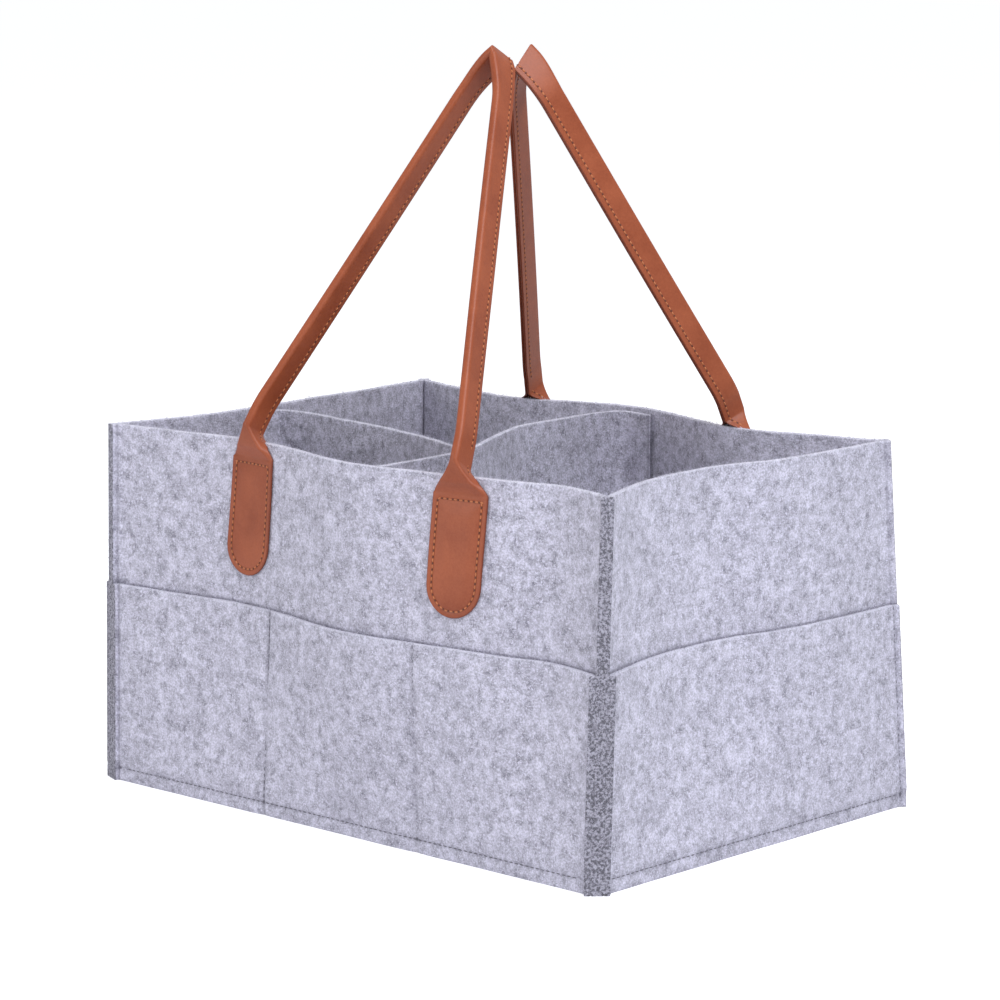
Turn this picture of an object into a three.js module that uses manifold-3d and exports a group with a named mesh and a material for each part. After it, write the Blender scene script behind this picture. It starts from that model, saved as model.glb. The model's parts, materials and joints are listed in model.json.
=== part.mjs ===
// Diaper caddy: an open felt box with a lift-out divider, flat outside pockets
// and two leather carrying straps. Millimetres, +Z up, front towards -Y.
// The origin is at the floor, under the middle of the box.
import * as THREE from "three";
import Module from "manifold-3d";
import { mergeVertices } from "three/addons/utils/BufferGeometryUtils.js";

const wasm = await Module();
wasm.setup();

// Sheet goods
const feltThickness = 2.7;
const leatherThickness = 1.3;
const tapeThickness = 1.2;
const seatGap = 0.3;
const feltPitch = feltThickness + seatGap;

// Felt box, measured between the corner seams at the floor
const seamLength = 318;
const seamDepth = 217;
const wallHeight = 180;
const seamAllowance = 6;
const seamBend = 0.9;
const baseRise = 8;
const baseTop = baseRise + feltThickness;
const pocketHeight = 100;

// The soft rim: how far the straps draw it in, and where each corner ends up
const rimDraw = 8;
const frontBow = 11;
const rightBow = 14.5;
const backBow = 15.5;
const leftBow = 9.5;

// Corner seams. Each stands out along its own direction, turned from the front.
const corners = {
  frontLeft: { sideShares: [-1, -1], turn: -22, rimShares: [0.3, 0.15] },
  frontRight: { sideShares: [1, -1], turn: 44, rimShares: [0, 0.75] },
  backRight: { sideShares: [1, 1], turn: 147, rimShares: [1, 0.65] },
  backLeft: { sideShares: [-1, 1], turn: -135, rimShares: [0.6, 0.35] },
};

// Walls run anticlockwise seen from above. Each bow share pair is the place
// along the wall and how far the rim stands out there.
const walls = {
  front: {
    ends: ["frontLeft", "frontRight"],
    bow: frontBow,
    columns: 40,
    bowShares: [
      [0.13, -0.36], [0.25, -0.74], [0.34, -0.42], [0.43, 0.3], [0.5, 0.82],
      [0.57, 0.98], [0.65, 0.63], [0.72, 0.32], [0.81, -0.02], [0.9, -0.6],
    ],
  },
  right: {
    ends: ["frontRight", "backRight"],
    bow: rightBow,
    columns: 24,
    bowShares: [[0.16, -0.7], [0.31, -1], [0.46, -0.93], [0.59, -0.36], [0.75, -0.04]],
  },
  back: {
    ends: ["backRight", "backLeft"],
    bow: backBow,
    columns: 40,
    bowShares: [
      [0.11, -0.55], [0.21, -1.02], [0.3, -0.92], [0.39, -0.35], [0.46, 0.05], [0.55, 0.2],
      [0.62, -0.2], [0.69, -0.74], [0.76, -0.95], [0.88, -0.6],
    ],
  },
  left: {
    ends: ["backLeft", "frontLeft"],
    bow: leftBow,
    columns: 24,
    bowShares: [[0.25, -0.45], [0.48, -0.7], [0.63, -1], [0.83, -0.76]],
  },
};

// Divider: a full-depth panel and a half panel, with turned ends held by hook tape
const dividerDrop = 2;
const dividerLift = baseTop + seatGap;
const flapLength = 14;
const foldReach = 6;
const tapeWidth = 9;
const tapeInset = 2;
const tapeFoot = 24;
const tapeSeat = feltThickness / 2 + tapeThickness + 2 * seatGap;
const crossFrontX = 20;
const crossBackX = -14;
const halfEndY = -11;
const junctionY = -36;

// Straps: flat tabs sewn outside the walls, then one strip folded along its length.
// In the funnel above each tab the strip closes round a flat facet that narrows to a point.
const tabSpans = { front: 144, back: 138 };
const strapMiddles = { front: 5.5, back: 2.5 };
const tabWidth = 30.5;
const tabFoot = 114;
const tabLean = 0.075;
const hingeRise = 1.2;
const hingeGap = 0.35;
const strapWidth = 28;
const ridgeReach = 2.5;
const ridgeFlat = 0.4;
const edgeInset = 4.5;
const funnelLength = 12;
const funnelSteps = [0, 2, 4, 6, 8];
const foldHaste = 2.2;
const legBendHeight = 17;
const legBendReach = 7;
const apexHeight = 179.2;
const apexOffset = 8;
const legSplay = { front: [-5.9, 2.9], back: [-4, 6.5] };
const apexShift = { front: -2, back: 0 };
const shoulderReach = 20;
const meetClearance = 1.4;
const foldAngle = 92.8;

const feltColour = 0xb9b6c2;
const leatherColour = 0xa8603c;
const tapeColour = 0x5a5860;

const felt = () => new THREE.MeshStandardMaterial({ color: feltColour, roughness: 0.95, metalness: 0 });
const leather = () => new THREE.MeshStandardMaterial({ color: leatherColour, roughness: 0.5, metalness: 0 });
const hookTape = () => new THREE.MeshStandardMaterial({ color: tapeColour, roughness: 0.85, metalness: 0 });

function mesh(name, geometry, material) {
  const piece = new THREE.Mesh(geometry, material);
  piece.name = name;
  return piece;
}

// Moves every corner of a unit box to place(u, v, w), each from 0 to 1
function reshape(box, place) {
  const position = box.attributes.position;
  for (let i = 0; i < position.count; i += 1) {
    const corner = place(position.getX(i) + 0.5, position.getY(i) + 0.5, position.getZ(i) + 0.5);
    position.setXYZ(i, corner.x, corner.y, corner.z);
  }
  box.computeVertexNormals();
  return box;
}

const rightOf = (direction) => new THREE.Vector2(direction.y, -direction.x);
const between = (a, b, share) => a.clone().lerp(b, share);

// A line in plan moved sideways, to its right for a positive distance
function offsetPath(path, distance) {
  return path.map((point, i) => {
    const before = path[Math.max(i - 1, 0)];
    const after = path[Math.min(i + 1, path.length - 1)];
    const into = i > 0 ? point.clone().sub(before).normalize() : after.clone().sub(point).normalize();
    const out = i < path.length - 1 ? after.clone().sub(point).normalize() : into;
    const normal = rightOf(into).add(rightOf(out)).normalize();
    return point.clone().addScaledVector(normal, distance / normal.dot(rightOf(into)));
  });
}

function smoothPath(points, pieces) {
  const knots = points.map((point) => new THREE.Vector3(point.x, point.y, 0));
  const curve = new THREE.CatmullRomCurve3(knots, false, "centripetal");
  return curve.getPoints(pieces).map((p) => new THREE.Vector2(p.x, p.y));
}

// Felt standing on edge: a path in plan at each height, given a thickness
function bentSheet(pathAt, heights, thickness) {
  const faces = heights.map((height) => {
    const path = pathAt(height);
    return [offsetPath(path, thickness / 2), offsetPath(path, -thickness / 2)];
  });
  const columns = faces[0][0].length - 1;
  const rows = heights.length - 1;
  return reshape(new THREE.BoxGeometry(1, 1, 1, columns, 1, rows), (u, v, w) => {
    const row = Math.round(w * rows);
    const point = faces[row][Math.round(v)][Math.round(u * columns)];
    return new THREE.Vector3(point.x, point.y, heights[row]);
  });
}

// The walls stand straight beside the base, then take up their bows and the rim's draw
const risen = (height) => Math.max((height - baseTop) / (wallHeight - baseTop), 0);
const bowed = (height) => 1 - (1 - risen(height)) ** 2;

function cornerPoint(name, height) {
  const [x, y] = corners[name].sideShares;
  const [drawX, drawY] = corners[name].rimShares;
  const draw = rimDraw * risen(height);
  return new THREE.Vector2(x * (seamLength / 2 - drawX * draw), y * (seamDepth / 2 - drawY * draw));
}

function seamDirection(name) {
  const turn = THREE.MathUtils.degToRad(corners[name].turn);
  return new THREE.Vector2(Math.sin(turn), -Math.cos(turn));
}

// Where two lines that meet at a corner still meet once both are moved to their right
function miterPoint(corner, into, out, distance) {
  const sum = rightOf(into).add(rightOf(out));
  return corner.clone().addScaledVector(sum, distance / (1 + rightOf(into).dot(rightOf(out))));
}

// The outermost line of a side, over its pocket panel: fins at both ends, and the bowed wall
function outerPath(name, height) {
  const { ends, bow, columns, bowShares } = walls[name];
  const [start, end] = ends.map((corner) => cornerPoint(corner, height));
  const [startSeam, endSeam] = ends.map(seamDirection);
  const along = end.clone().sub(start).normalize();
  const distance = 2 * feltPitch;
  const arriving = startSeam.clone().negate();
  const first = miterPoint(start, arriving, along, distance);
  const last = miterPoint(end, along, endSeam, distance);
  const line = bowShares.map(([share, out]) =>
    between(start, end, share).addScaledVector(rightOf(along), out * bow * bowed(height)));
  const moved = offsetPath([start, ...line, end], distance).slice(1, -1);
  const wall = smoothPath([first, ...moved, last], columns);
  const tip = (corner, seam, right) =>
    corner.clone().addScaledVector(seam, seamAllowance).addScaledVector(right, distance);
  const startTip = tip(start, startSeam, rightOf(arriving));
  const endTip = tip(end, endSeam, rightOf(endSeam));
  return [
    startTip,
    ...roundedCorner(startTip, first, wall[1]),
    ...wall.slice(1, -1),
    ...roundedCorner(wall[wall.length - 2], last, endTip),
    endTip,
  ];
}

// Centre line of a wall (layer 0) or of the pocket panel sewn over it (layer 1)
function wallPath(name, layer, height) {
  return offsetPath(outerPath(name, height), (layer - 1.5) * feltPitch);
}

function roundedCorner(before, corner, after) {
  const reach = (point) => corner.clone().add(point.clone().sub(corner).setLength(seamBend));
  const curve = new THREE.QuadraticBezierCurve(reach(before), corner, reach(after));
  return curve.getPoints(3);
}

// Rows stand closer together low down, where the bows grow fastest
const bowAt = (share) => baseTop + (wallHeight - baseTop) * (1 - Math.sqrt(1 - share));
const lowerRows = [0.25, 0.5, 0.75].map((share) => bowAt(share * bowed(pocketHeight)));
const pocketRows = [0, baseTop, ...lowerRows, pocketHeight];
const wallRows = [...pocketRows, (pocketHeight + wallHeight) / 2, wallHeight];

function wallPanel(name, layer) {
  const rows = layer === 0 ? wallRows : pocketRows;
  return bentSheet((height) => wallPath(name, layer, height), rows, feltThickness);
}

// The line in plan of a wall's face at any height; side 1 is outside, -1 inside
function wallFace(name, height, side) {
  const upper = Math.max(wallRows.findIndex((row) => row >= height), 1);
  const share = (height - wallRows[upper - 1]) / (wallRows[upper] - wallRows[upper - 1]);
  const [low, high] = [wallRows[upper - 1], wallRows[upper]].map((row) =>
    offsetPath(wallPath(name, 0, row), (side * feltThickness) / 2));
  return low.map((point, i) => between(point, high[i], share));
}

// A point on a line in plan: found by one coordinate, then moved along it and off it
function pointOn(path, axis, value, along = 0, off = 0) {
  const lengths = [0];
  let found = 0;
  for (let i = 1; i < path.length; i += 1) {
    lengths.push(lengths[i - 1] + path[i].distanceTo(path[i - 1]));
    const share = (value - path[i - 1][axis]) / (path[i][axis] - path[i - 1][axis]);
    if (share >= 0 && share <= 1) found = lengths[i - 1] + share * (lengths[i] - lengths[i - 1]);
  }
  const length = found + along;
  const next = Math.min(Math.max(lengths.findIndex((l) => l >= length), 1), path.length - 1);
  const step = path[next].clone().sub(path[next - 1]);
  const share = (length - lengths[next - 1]) / step.length();
  const normal = rightOf(step.clone().normalize());
  return between(path[next - 1], path[next], share).addScaledVector(normal, off);
}

// Base: one felt panel whose edge is turned down and sewn into the bottom seam
function solid(geometry) {
  const bare = geometry.clone();
  bare.deleteAttribute("normal");
  bare.deleteAttribute("uv");
  const merged = mergeVertices(bare);
  return new wasm.Manifold(new wasm.Mesh({
    numProp: 3,
    vertProperties: new Float32Array(merged.attributes.position.array),
    triVerts: new Uint32Array(merged.index.array),
  }));
}

function fromSolid(body) {
  const { vertProperties, triVerts } = body.getMesh();
  const geometry = new THREE.BufferGeometry();
  geometry.setAttribute("position", new THREE.BufferAttribute(new Float32Array(vertProperties), 3));
  geometry.setIndex(new THREE.BufferAttribute(new Uint32Array(triVerts), 1));
  geometry.computeVertexNormals();
  return geometry;
}

function basePanel() {
  const length = seamLength - seatGap;
  const depth = seamDepth - seatGap;
  const outer = new THREE.BoxGeometry(length, depth, baseTop);
  outer.translate(0, 0, baseTop / 2);
  const hollow = new THREE.BoxGeometry(length - 2 * feltThickness, depth - 2 * feltThickness, 2 * baseRise);
  return fromSolid(solid(outer).subtract(solid(hollow)));
}

// Divider panels. Turned ends lie along the walls, with the hook tape between.
const dividerHeights = [0, 0.25, 0.5, 1].map((share) =>
  dividerLift + share * (wallHeight - dividerDrop - dividerLift));
const inPlan = (x, y) => new THREE.Vector2(x, y);
const rim = wallHeight;
const bodyShares = [
  [0.13, -0.86], [0.13, -0.68], [0.113, -0.48], [0.08, -0.3],
  [-0.03, 0.03], [-0.1, 0.3], [-0.11, 0.55],
];

function crossPath(height) {
  const front = wallFace("front", height, -1);
  const back = wallFace("back", rim, -1);
  const frontRoot = pointOn(front, "x", crossFrontX, 0, -tapeSeat);
  const backRoot = pointOn(back, "x", crossBackX, 0, -tapeSeat);
  return smoothPath([
    pointOn(front, "x", crossFrontX, -flapLength, -tapeSeat),
    pointOn(front, "x", crossFrontX, -foldReach, -tapeSeat),
    frontRoot.clone().add(inPlan(-foldReach / 4, foldReach / 4)),
    frontRoot.clone().add(inPlan(0, foldReach)),
    ...bodyShares.map(([x, y]) => inPlan((x * seamLength) / 2, (y * seamDepth) / 2)),
    backRoot.clone().add(inPlan(-foldReach / 2, -2 * foldReach)),
    backRoot.clone().add(inPlan(0, -foldReach / 2)),
    pointOn(back, "x", crossBackX, -foldReach, -tapeSeat),
    pointOn(back, "x", crossBackX, -flapLength, -tapeSeat),
  ], 42);
}

const halfShares = [
  [-0.78, -0.085], [-0.63, -0.115], [-0.48, -0.147], [-0.31, -0.195], [-0.15, -0.255],
];

function halfPath() {
  const left = wallFace("left", rim, -1);
  const cross = offsetPath(crossPath(rim), -feltThickness / 2);
  const leftRoot = pointOn(left, "y", halfEndY, 0, -tapeSeat);
  const junction = pointOn(cross, "y", junctionY, 0, -tapeSeat);
  return smoothPath([
    pointOn(left, "y", halfEndY, flapLength, -tapeSeat),
    pointOn(left, "y", halfEndY, foldReach, -tapeSeat),
    leftRoot.clone().add(inPlan(foldReach / 4, -foldReach / 4)),
    leftRoot.clone().add(inPlan(foldReach, 0)),
    ...halfShares.map(([x, y]) => inPlan((x * seamLength) / 2, (y * seamDepth) / 2)),
    junction.clone().add(inPlan(-foldReach, 0)),
    junction.clone().add(inPlan(-foldReach / 4, foldReach / 4)),
    pointOn(cross, "y", junctionY, foldReach, -tapeSeat),
    pointOn(cross, "y", junctionY, flapLength, -tapeSeat),
  ], 36);
}

// A strip of hook tape on the back of a turned end
function tapeStrip(pathAt, axis, value, direction) {
  const near = direction * (flapLength - tapeInset);
  const far = direction * (flapLength - tapeInset - tapeWidth);
  const [first, last] = [Math.min(near, far), Math.max(near, far)];
  const seat = -(seatGap + tapeThickness / 2);
  const heights = dividerHeights.map((height, i) => (i === 0 ? height + tapeFoot : height))
    .map((height, i, all) => (i === all.length - 1 ? height - tapeFoot / 2 : height));
  return bentSheet((height) => [0, 0.5, 1].map((share) =>
    pointOn(pathAt(height), axis, value, first + share * (last - first), seat)), heights, tapeThickness);
}

// Strap frame: x along the hinge, y inwards, z up the strap
const hingeHeight = wallHeight + hingeRise;

const footX = (wall, side) => strapMiddles[wall] + (side * tabSpans[wall]) / 2;

// The middle of a tab's thickness at the rim, where the strap hinges
function hingePoint(wall, side) {
  const out = seatGap + leatherThickness / 2;
  return pointOn(wallFace(wall, wallHeight, 1), "x", footX(wall, side), 0, out);
}

// Hinge line and lean of a strap, whose folded edges meet the other strap's over the middle
function strapFrame(wall) {
  const start = hingePoint(wall, wall === "front" ? -1 : 1);
  const end = hingePoint(wall, wall === "front" ? 1 : -1);
  const middle = between(start, end, 0.5);
  const along = end.clone().sub(start).normalize();
  const inward = rightOf(along).negate();
  const meeting = inPlan(apexOffset, 0).addScaledVector(inward, -meetClearance);
  const toMeeting = meeting.sub(middle);
  const across = toMeeting.dot(inward);
  const reach = Math.sqrt(across ** 2 + apexHeight ** 2 - edgeInset ** 2);
  const lean = Math.atan2(across, apexHeight) - Math.atan2(edgeInset, reach);
  return { wall, middle, along, lean, reach, half: start.distanceTo(end) / 2, apexX: toMeeting.dot(along) };
}

// The strap's centre line in its own plane: two straight legs, whose lines would miss each other
// at the top, drawn together from their shoulders into one sharp peak
function strapLine({ wall, half, reach, apexX }) {
  const peak = inPlan(apexX + apexShift[wall], reach);
  const leg = (side) => {
    const foot = (height) => inPlan(side * half, height);
    const bend = foot(legBendHeight);
    const aim = inPlan(apexX + legSplay[wall][side < 0 ? 0 : 1], reach);
    const towards = (a, b, ahead) => a.clone().add(b.clone().sub(a).setLength(ahead));
    const shoulder = towards(aim, bend, shoulderReach);
    const corner = [towards(bend, foot(0), legBendReach), bend, towards(bend, aim, legBendReach)];
    const crown = [shoulder, towards(shoulder, aim, shoulderReach / 2), peak];
    return [
      ...funnelSteps.map(foot),
      ...new THREE.QuadraticBezierCurve(...corner).getPoints(6),
      ...[0.15, 0.45, 0.75].map((share) => between(corner[2], shoulder, share)),
      ...new THREE.QuadraticBezierCurve(...crown).getPoints(4).slice(0, -1),
    ];
  };
  return [...leg(-1), peak, ...leg(1).reverse()];
}

// Section of the strip: flat at the hinge, then a facet with a bend on each side of it. The
// facet narrows up the funnel until the two bends meet as one ridge.
function foldedSection(place, folded) {
  const half = THREE.MathUtils.lerp(tabWidth, strapWidth, folded) / 2;
  const facet = THREE.MathUtils.lerp(tabWidth / 2 - 1.2 * ridgeReach, ridgeFlat, folded);
  const full = THREE.MathUtils.degToRad(foldAngle);
  const angle = Math.max(full * (1 - (1 - folded) ** foldHaste), 0.001);
  const radius = ridgeReach / angle;
  const stops = [0, facet, facet + ridgeReach / 2, facet + ridgeReach, half];
  const distance = stops[Math.abs(place)];
  const bend = THREE.MathUtils.clamp((distance - facet) / ridgeReach, 0, 1) * angle;
  const flank = Math.max(distance - facet - ridgeReach, 0);
  const side = Math.sign(place);
  const depth = radius * (1 - Math.cos(bend)) + flank * Math.sin(angle);
  const fullFlank = (strapWidth / 2 - ridgeFlat - ridgeReach) * Math.sin(full);
  const fullDepth = (ridgeReach / full) * (1 - Math.cos(full)) + fullFlank;
  const width = Math.min(distance, facet) + radius * Math.sin(bend) + flank * Math.cos(angle);
  return {
    across: side * width,
    inward: depth - folded * (fullDepth - edgeInset),
    normal: new THREE.Vector2(-side * Math.sin(bend), Math.cos(bend)),
  };
}

function strapGeometry(frame) {
  const line = strapLine(frame);
  const rows = line.length - 1;
  const sidePlaces = 4;
  const columns = 2 * sidePlaces;
  const lengths = [0];
  for (let i = 1; i <= rows; i += 1) lengths.push(lengths[i - 1] + line[i].distanceTo(line[i - 1]));
  const sides = offsetPath(line, 1).map((point, i) => point.sub(line[i]));
  return reshape(new THREE.BoxGeometry(1, 1, 1, columns, 1, rows), (u, v, w) => {
    const row = Math.round(w * rows);
    const fromEnd = Math.min(lengths[row], lengths[rows] - lengths[row]);
    const folded = Math.min(fromEnd / funnelLength, 1);
    const section = foldedSection(Math.round(u * columns) - sidePlaces, folded);
    const skin = (v - 0.5) * leatherThickness;
    const place = line[row].clone().addScaledVector(sides[row], section.across + skin * section.normal.x);
    return new THREE.Vector3(place.x, section.inward + skin * section.normal.y, place.y);
  });
}

// Strap placed on its hinge line and leaned inwards
function strap(name, wall) {
  const frame = strapFrame(wall);
  const leaned = new THREE.Group();
  leaned.rotation.x = -frame.lean;
  leaned.add(mesh(name, strapGeometry(frame), leather()));
  const hinge = new THREE.Group();
  hinge.position.set(frame.middle.x, frame.middle.y, hingeHeight);
  hinge.rotation.z = Math.atan2(frame.along.y, frame.along.x);
  hinge.add(leaned);
  return hinge;
}

// Tab: straight sides and a round lower end, lying on the outside of its wall
function tab(name, wall, side) {
  const radius = tabWidth / 2;
  const top = hingeHeight - leatherThickness / 2 - hingeGap;
  const roundRows = [16, 34, 52, 70, 90].map((degrees) => {
    const angle = THREE.MathUtils.degToRad(degrees);
    return { height: tabFoot + radius * (1 - Math.cos(angle)), half: radius * Math.sin(angle) };
  });
  const straight = [0.25, 0.5, 0.75, 1].map((share) =>
    ({ height: THREE.MathUtils.lerp(tabFoot + radius, top, share), half: radius }));
  const rows = [...roundRows, ...straight];
  const columns = 8;
  const box = new THREE.BoxGeometry(1, 1, 1, columns, 1, rows.length - 1);
  const middle = footX(wall, wall === "front" ? side : -side);
  return mesh(name, reshape(box, (u, v, w) => {
    const { height, half } = rows[Math.round(w * (rows.length - 1))];
    const face = wallFace(wall, Math.min(height, wallHeight), 1);
    const off = seatGap + (1 - v) * leatherThickness;
    const point = pointOn(face, "x", middle + (height - top) * tabLean, (2 * u - 1) * half, off);
    return new THREE.Vector3(point.x, point.y, height);
  }), leather());
}

const caddy = new THREE.Group();
caddy.add(mesh("base_panel", basePanel(), felt()));
for (const name of Object.keys(walls)) {
  caddy.add(mesh(`${name}_wall`, wallPanel(name, 0), felt()));
  caddy.add(mesh(`${name}_pocket`, wallPanel(name, 1), felt()));
}
caddy.add(mesh("cross_divider", bentSheet(crossPath, dividerHeights, feltThickness), felt()));
caddy.add(mesh("half_divider", bentSheet(halfPath, dividerHeights, feltThickness), felt()));

const crossSide = () => offsetPath(crossPath(rim), -feltThickness / 2);
const frontTape = tapeStrip((height) => wallFace("front", height, -1), "x", crossFrontX, -1);
const backTape = tapeStrip(() => wallFace("back", rim, -1), "x", crossBackX, -1);
const leftTape = tapeStrip(() => wallFace("left", rim, -1), "y", halfEndY, 1);
const middleTape = tapeStrip(crossSide, "y", junctionY, 1);
caddy.add(mesh("front_hook_tape", frontTape, hookTape()));
caddy.add(mesh("back_hook_tape", backTape, hookTape()));
caddy.add(mesh("left_hook_tape", leftTape, hookTape()));
caddy.add(mesh("middle_hook_tape", middleTape, hookTape()));

caddy.add(tab("front_left_tab", "front", -1));
caddy.add(tab("front_right_tab", "front", 1));
caddy.add(tab("rear_left_tab", "back", 1));
caddy.add(tab("rear_right_tab", "back", -1));
caddy.add(strap("front_strap", "front"));
caddy.add(strap("rear_strap", "back"));

export default caddy;
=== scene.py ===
"""Felt diaper caddy with folded leather carrying straps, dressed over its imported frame."""

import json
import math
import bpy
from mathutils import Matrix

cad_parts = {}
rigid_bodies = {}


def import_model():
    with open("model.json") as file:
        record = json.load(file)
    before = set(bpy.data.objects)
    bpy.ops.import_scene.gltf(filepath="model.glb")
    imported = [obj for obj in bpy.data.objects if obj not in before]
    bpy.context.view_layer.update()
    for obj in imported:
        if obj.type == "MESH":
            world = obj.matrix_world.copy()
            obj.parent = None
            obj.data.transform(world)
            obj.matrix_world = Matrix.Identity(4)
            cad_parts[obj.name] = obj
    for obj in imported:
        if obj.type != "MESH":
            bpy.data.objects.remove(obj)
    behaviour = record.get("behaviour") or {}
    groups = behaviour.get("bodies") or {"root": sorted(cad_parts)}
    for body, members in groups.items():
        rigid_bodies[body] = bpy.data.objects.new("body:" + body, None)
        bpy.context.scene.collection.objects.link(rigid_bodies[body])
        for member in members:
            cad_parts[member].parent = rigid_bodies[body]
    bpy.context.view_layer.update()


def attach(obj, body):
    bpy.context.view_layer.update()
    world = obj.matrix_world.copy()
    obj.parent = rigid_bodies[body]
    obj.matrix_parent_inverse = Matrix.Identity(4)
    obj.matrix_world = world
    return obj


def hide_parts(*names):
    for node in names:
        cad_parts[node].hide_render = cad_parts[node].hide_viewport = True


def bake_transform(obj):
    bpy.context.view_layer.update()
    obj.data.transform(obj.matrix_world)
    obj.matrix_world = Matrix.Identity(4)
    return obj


bl_info = {
    "name": "Felt Caddy",
    "version": (1, 0, 0),
    "blender": (4, 5, 0),
    "location": "View3D > Sidebar > Felt Caddy",
    "description": "Builds the felt box, its lift-out divider and its sewn leather straps",
    "category": "Add Mesh",
}

import bpy
import numpy as np
from bpy.props import FloatProperty, FloatVectorProperty, IntProperty, PointerProperty
from mathutils import Vector

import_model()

MM = 0.001

# Sheet goods, and the gap between two that lie together
FELT = 2.7 * MM
SEAT = 0.3 * MM
PITCH = FELT + SEAT
LEATHER = 1.3 * MM
TAPE = 1.2 * MM

# Felt box, measured between the corner seams at the floor
SEAM_LENGTH = 318 * MM
SEAM_DEPTH = 217 * MM
WALL_HEIGHT = 180 * MM
SEAM_ALLOWANCE = 6 * MM
SEAM_BEND = 0.9 * MM
SEAM_BEND_POINTS = 7
CORNER_CLEAR = 1.2 * MM
BASE_RISE = 8 * MM
BASE_TOP = BASE_RISE + FELT
POCKET_HEIGHT = 100 * MM
RIM_DRAW = 8 * MM
CURVE_STEPS = 14

# Each corner: which way it lies, how its seam is turned from the front, how far the rim draws it in
CORNERS = {
    "front_left": ((-1, -1), -22, (0.3, 0.15)),
    "front_right": ((1, -1), 44, (0, 0.75)),
    "back_right": ((1, 1), 147, (1, 0.65)),
    "back_left": ((-1, 1), -135, (0.6, 0.35)),
}
# Each wall: its corners, its bow, the shares of that bow along the rim, its columns
WALLS = {
    "front": ("front_left", "front_right", 11 * MM, (
        (0.13, -0.36), (0.25, -0.74), (0.34, -0.42), (0.43, 0.3), (0.5, 0.82),
        (0.57, 0.98), (0.65, 0.63), (0.72, 0.32), (0.81, -0.02), (0.9, -0.6)), 170),
    "right": ("front_right", "back_right", 14.5 * MM, (
        (0.16, -0.7), (0.31, -1), (0.46, -0.93), (0.59, -0.36), (0.75, -0.04)), 116),
    "back": ("back_right", "back_left", 15.5 * MM, (
        (0.11, -0.55), (0.21, -1.02), (0.3, -0.92), (0.39, -0.35), (0.46, 0.05), (0.55, 0.2),
        (0.62, -0.2), (0.69, -0.74), (0.76, -0.95), (0.88, -0.6)), 170),
    "left": ("back_left", "front_left", 9.5 * MM, (
        (0.25, -0.45), (0.48, -0.7), (0.63, -1), (0.83, -0.76)), 116),
}
# Unevenness of a wall made by hand, in millimetres: how deep, its run and rise, and its turn by wall
HAND_WAVES = ((0.12, 15.3, 30, 1), (0.05, 6.7, -180 / 11, 2.3), (0.09, 31, 11.3, 1.7))
# Rise and fall of a panel's cut top, and its waves: share, run in millimetres, turn by panel
RIM_WAVE = 0.12 * MM
RIM_WAVES = ((0.6, 9.3, 1), (0.4, 4.1, 2.1))

# Sewn lines of the box and how far its threads sink below the face
POCKET_SEAMS = (-51 * MM, 52 * MM)
BOTTOM_SEAM = 6.5 * MM
FIN_STITCH = 3 * MM
BOTTOM_SINK = 0.55 * MM
POCKET_SINK = 1.0 * MM
FIN_SINK = 0.45 * MM
BOTTOM_SHARES = (0.03, 0.97)
RIM_STOP = 2 * MM
FIN_STOP = 1.5 * MM
LEVEL_POINTS, POCKET_POINTS, FIN_POINTS = 300, 90, 80
SEAM_STEP = 0.6 * MM
BOX_THREAD = dict(pitch=3.2 * MM, length=2.4 * MM, width=0.6 * MM, height=0.5 * MM, rise=0.0)

# Rows of the panels. Cut edges: rows close beside them, their rounding, the ends pressed flat,
# and what stands for the distance where there is no cut edge or no seam
EDGE_ROWS = np.array([0, 0.08, 0.3, 0.65]) * MM
WALL_ROWS, POCKET_ROWS, DIVIDER_ROWS, TAPE_LEVELS = 82, 62, 120, 40
CUT_ROUND = 0.6 * MM
FIN_ROUND = 0.12 * MM
PRESSED = 5.5 * MM
PRESS_FADE = 1.5 * MM
NO_EDGE = 10 * MM
NO_SEAM = 50 * MM

# Base panel
BASE_CORNER = 1.2 * MM
BASE_EDGE = 0.3 * MM
BASE_ROUND = 1.6 * MM
BASE_RINGS = 46
BASE_SAG = 0.35 * MM
BASE_SAG_RUN, BASE_SAG_DEEP = 19 * MM, 23 * MM
BASE_DROP = 0.1 * MM

# Divider. Its back flap is longer here than in the CAD, as far as the photo shows it.
DIVIDER_TOP = WALL_HEIGHT - 2 * MM
DIVIDER_FOOT = BASE_TOP + SEAT
FLAP = 14 * MM
FLAP_MORE = 8 * MM
FLAP_STITCH = 9.5 * MM
FOLD_REACH = 6 * MM
CROSS_SHARES = ((0.13, -0.86), (0.13, -0.68), (0.113, -0.48), (0.08, -0.3),
                (-0.03, 0.03), (-0.1, 0.3), (-0.11, 0.55))
HALF_SHARES = ((-0.78, -0.085), (-0.63, -0.115), (-0.48, -0.147), (-0.31, -0.195), (-0.15, -0.255))
# Where its turned ends are held: the coordinate looked for, its value, the way the flap turns
HOLDS = {"front": (0, 20 * MM, -1), "back": (0, -14 * MM, -1),
         "left": (1, -11 * MM, 1), "middle": (1, -36 * MM, 1)}
TAPE_WIDTH = 9 * MM
TAPE_INSET = 2 * MM
TAPE_FOOT = 24 * MM
TAPE_SEAT = FELT / 2 + TAPE + 2 * SEAT
TAPE_POINTS = 9
TAPE_ROWS = np.array([0, 0.15, 0.4]) * MM
TAPE_ROUND = 0.4 * MM
TAPE_THIN = 0.6

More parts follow.
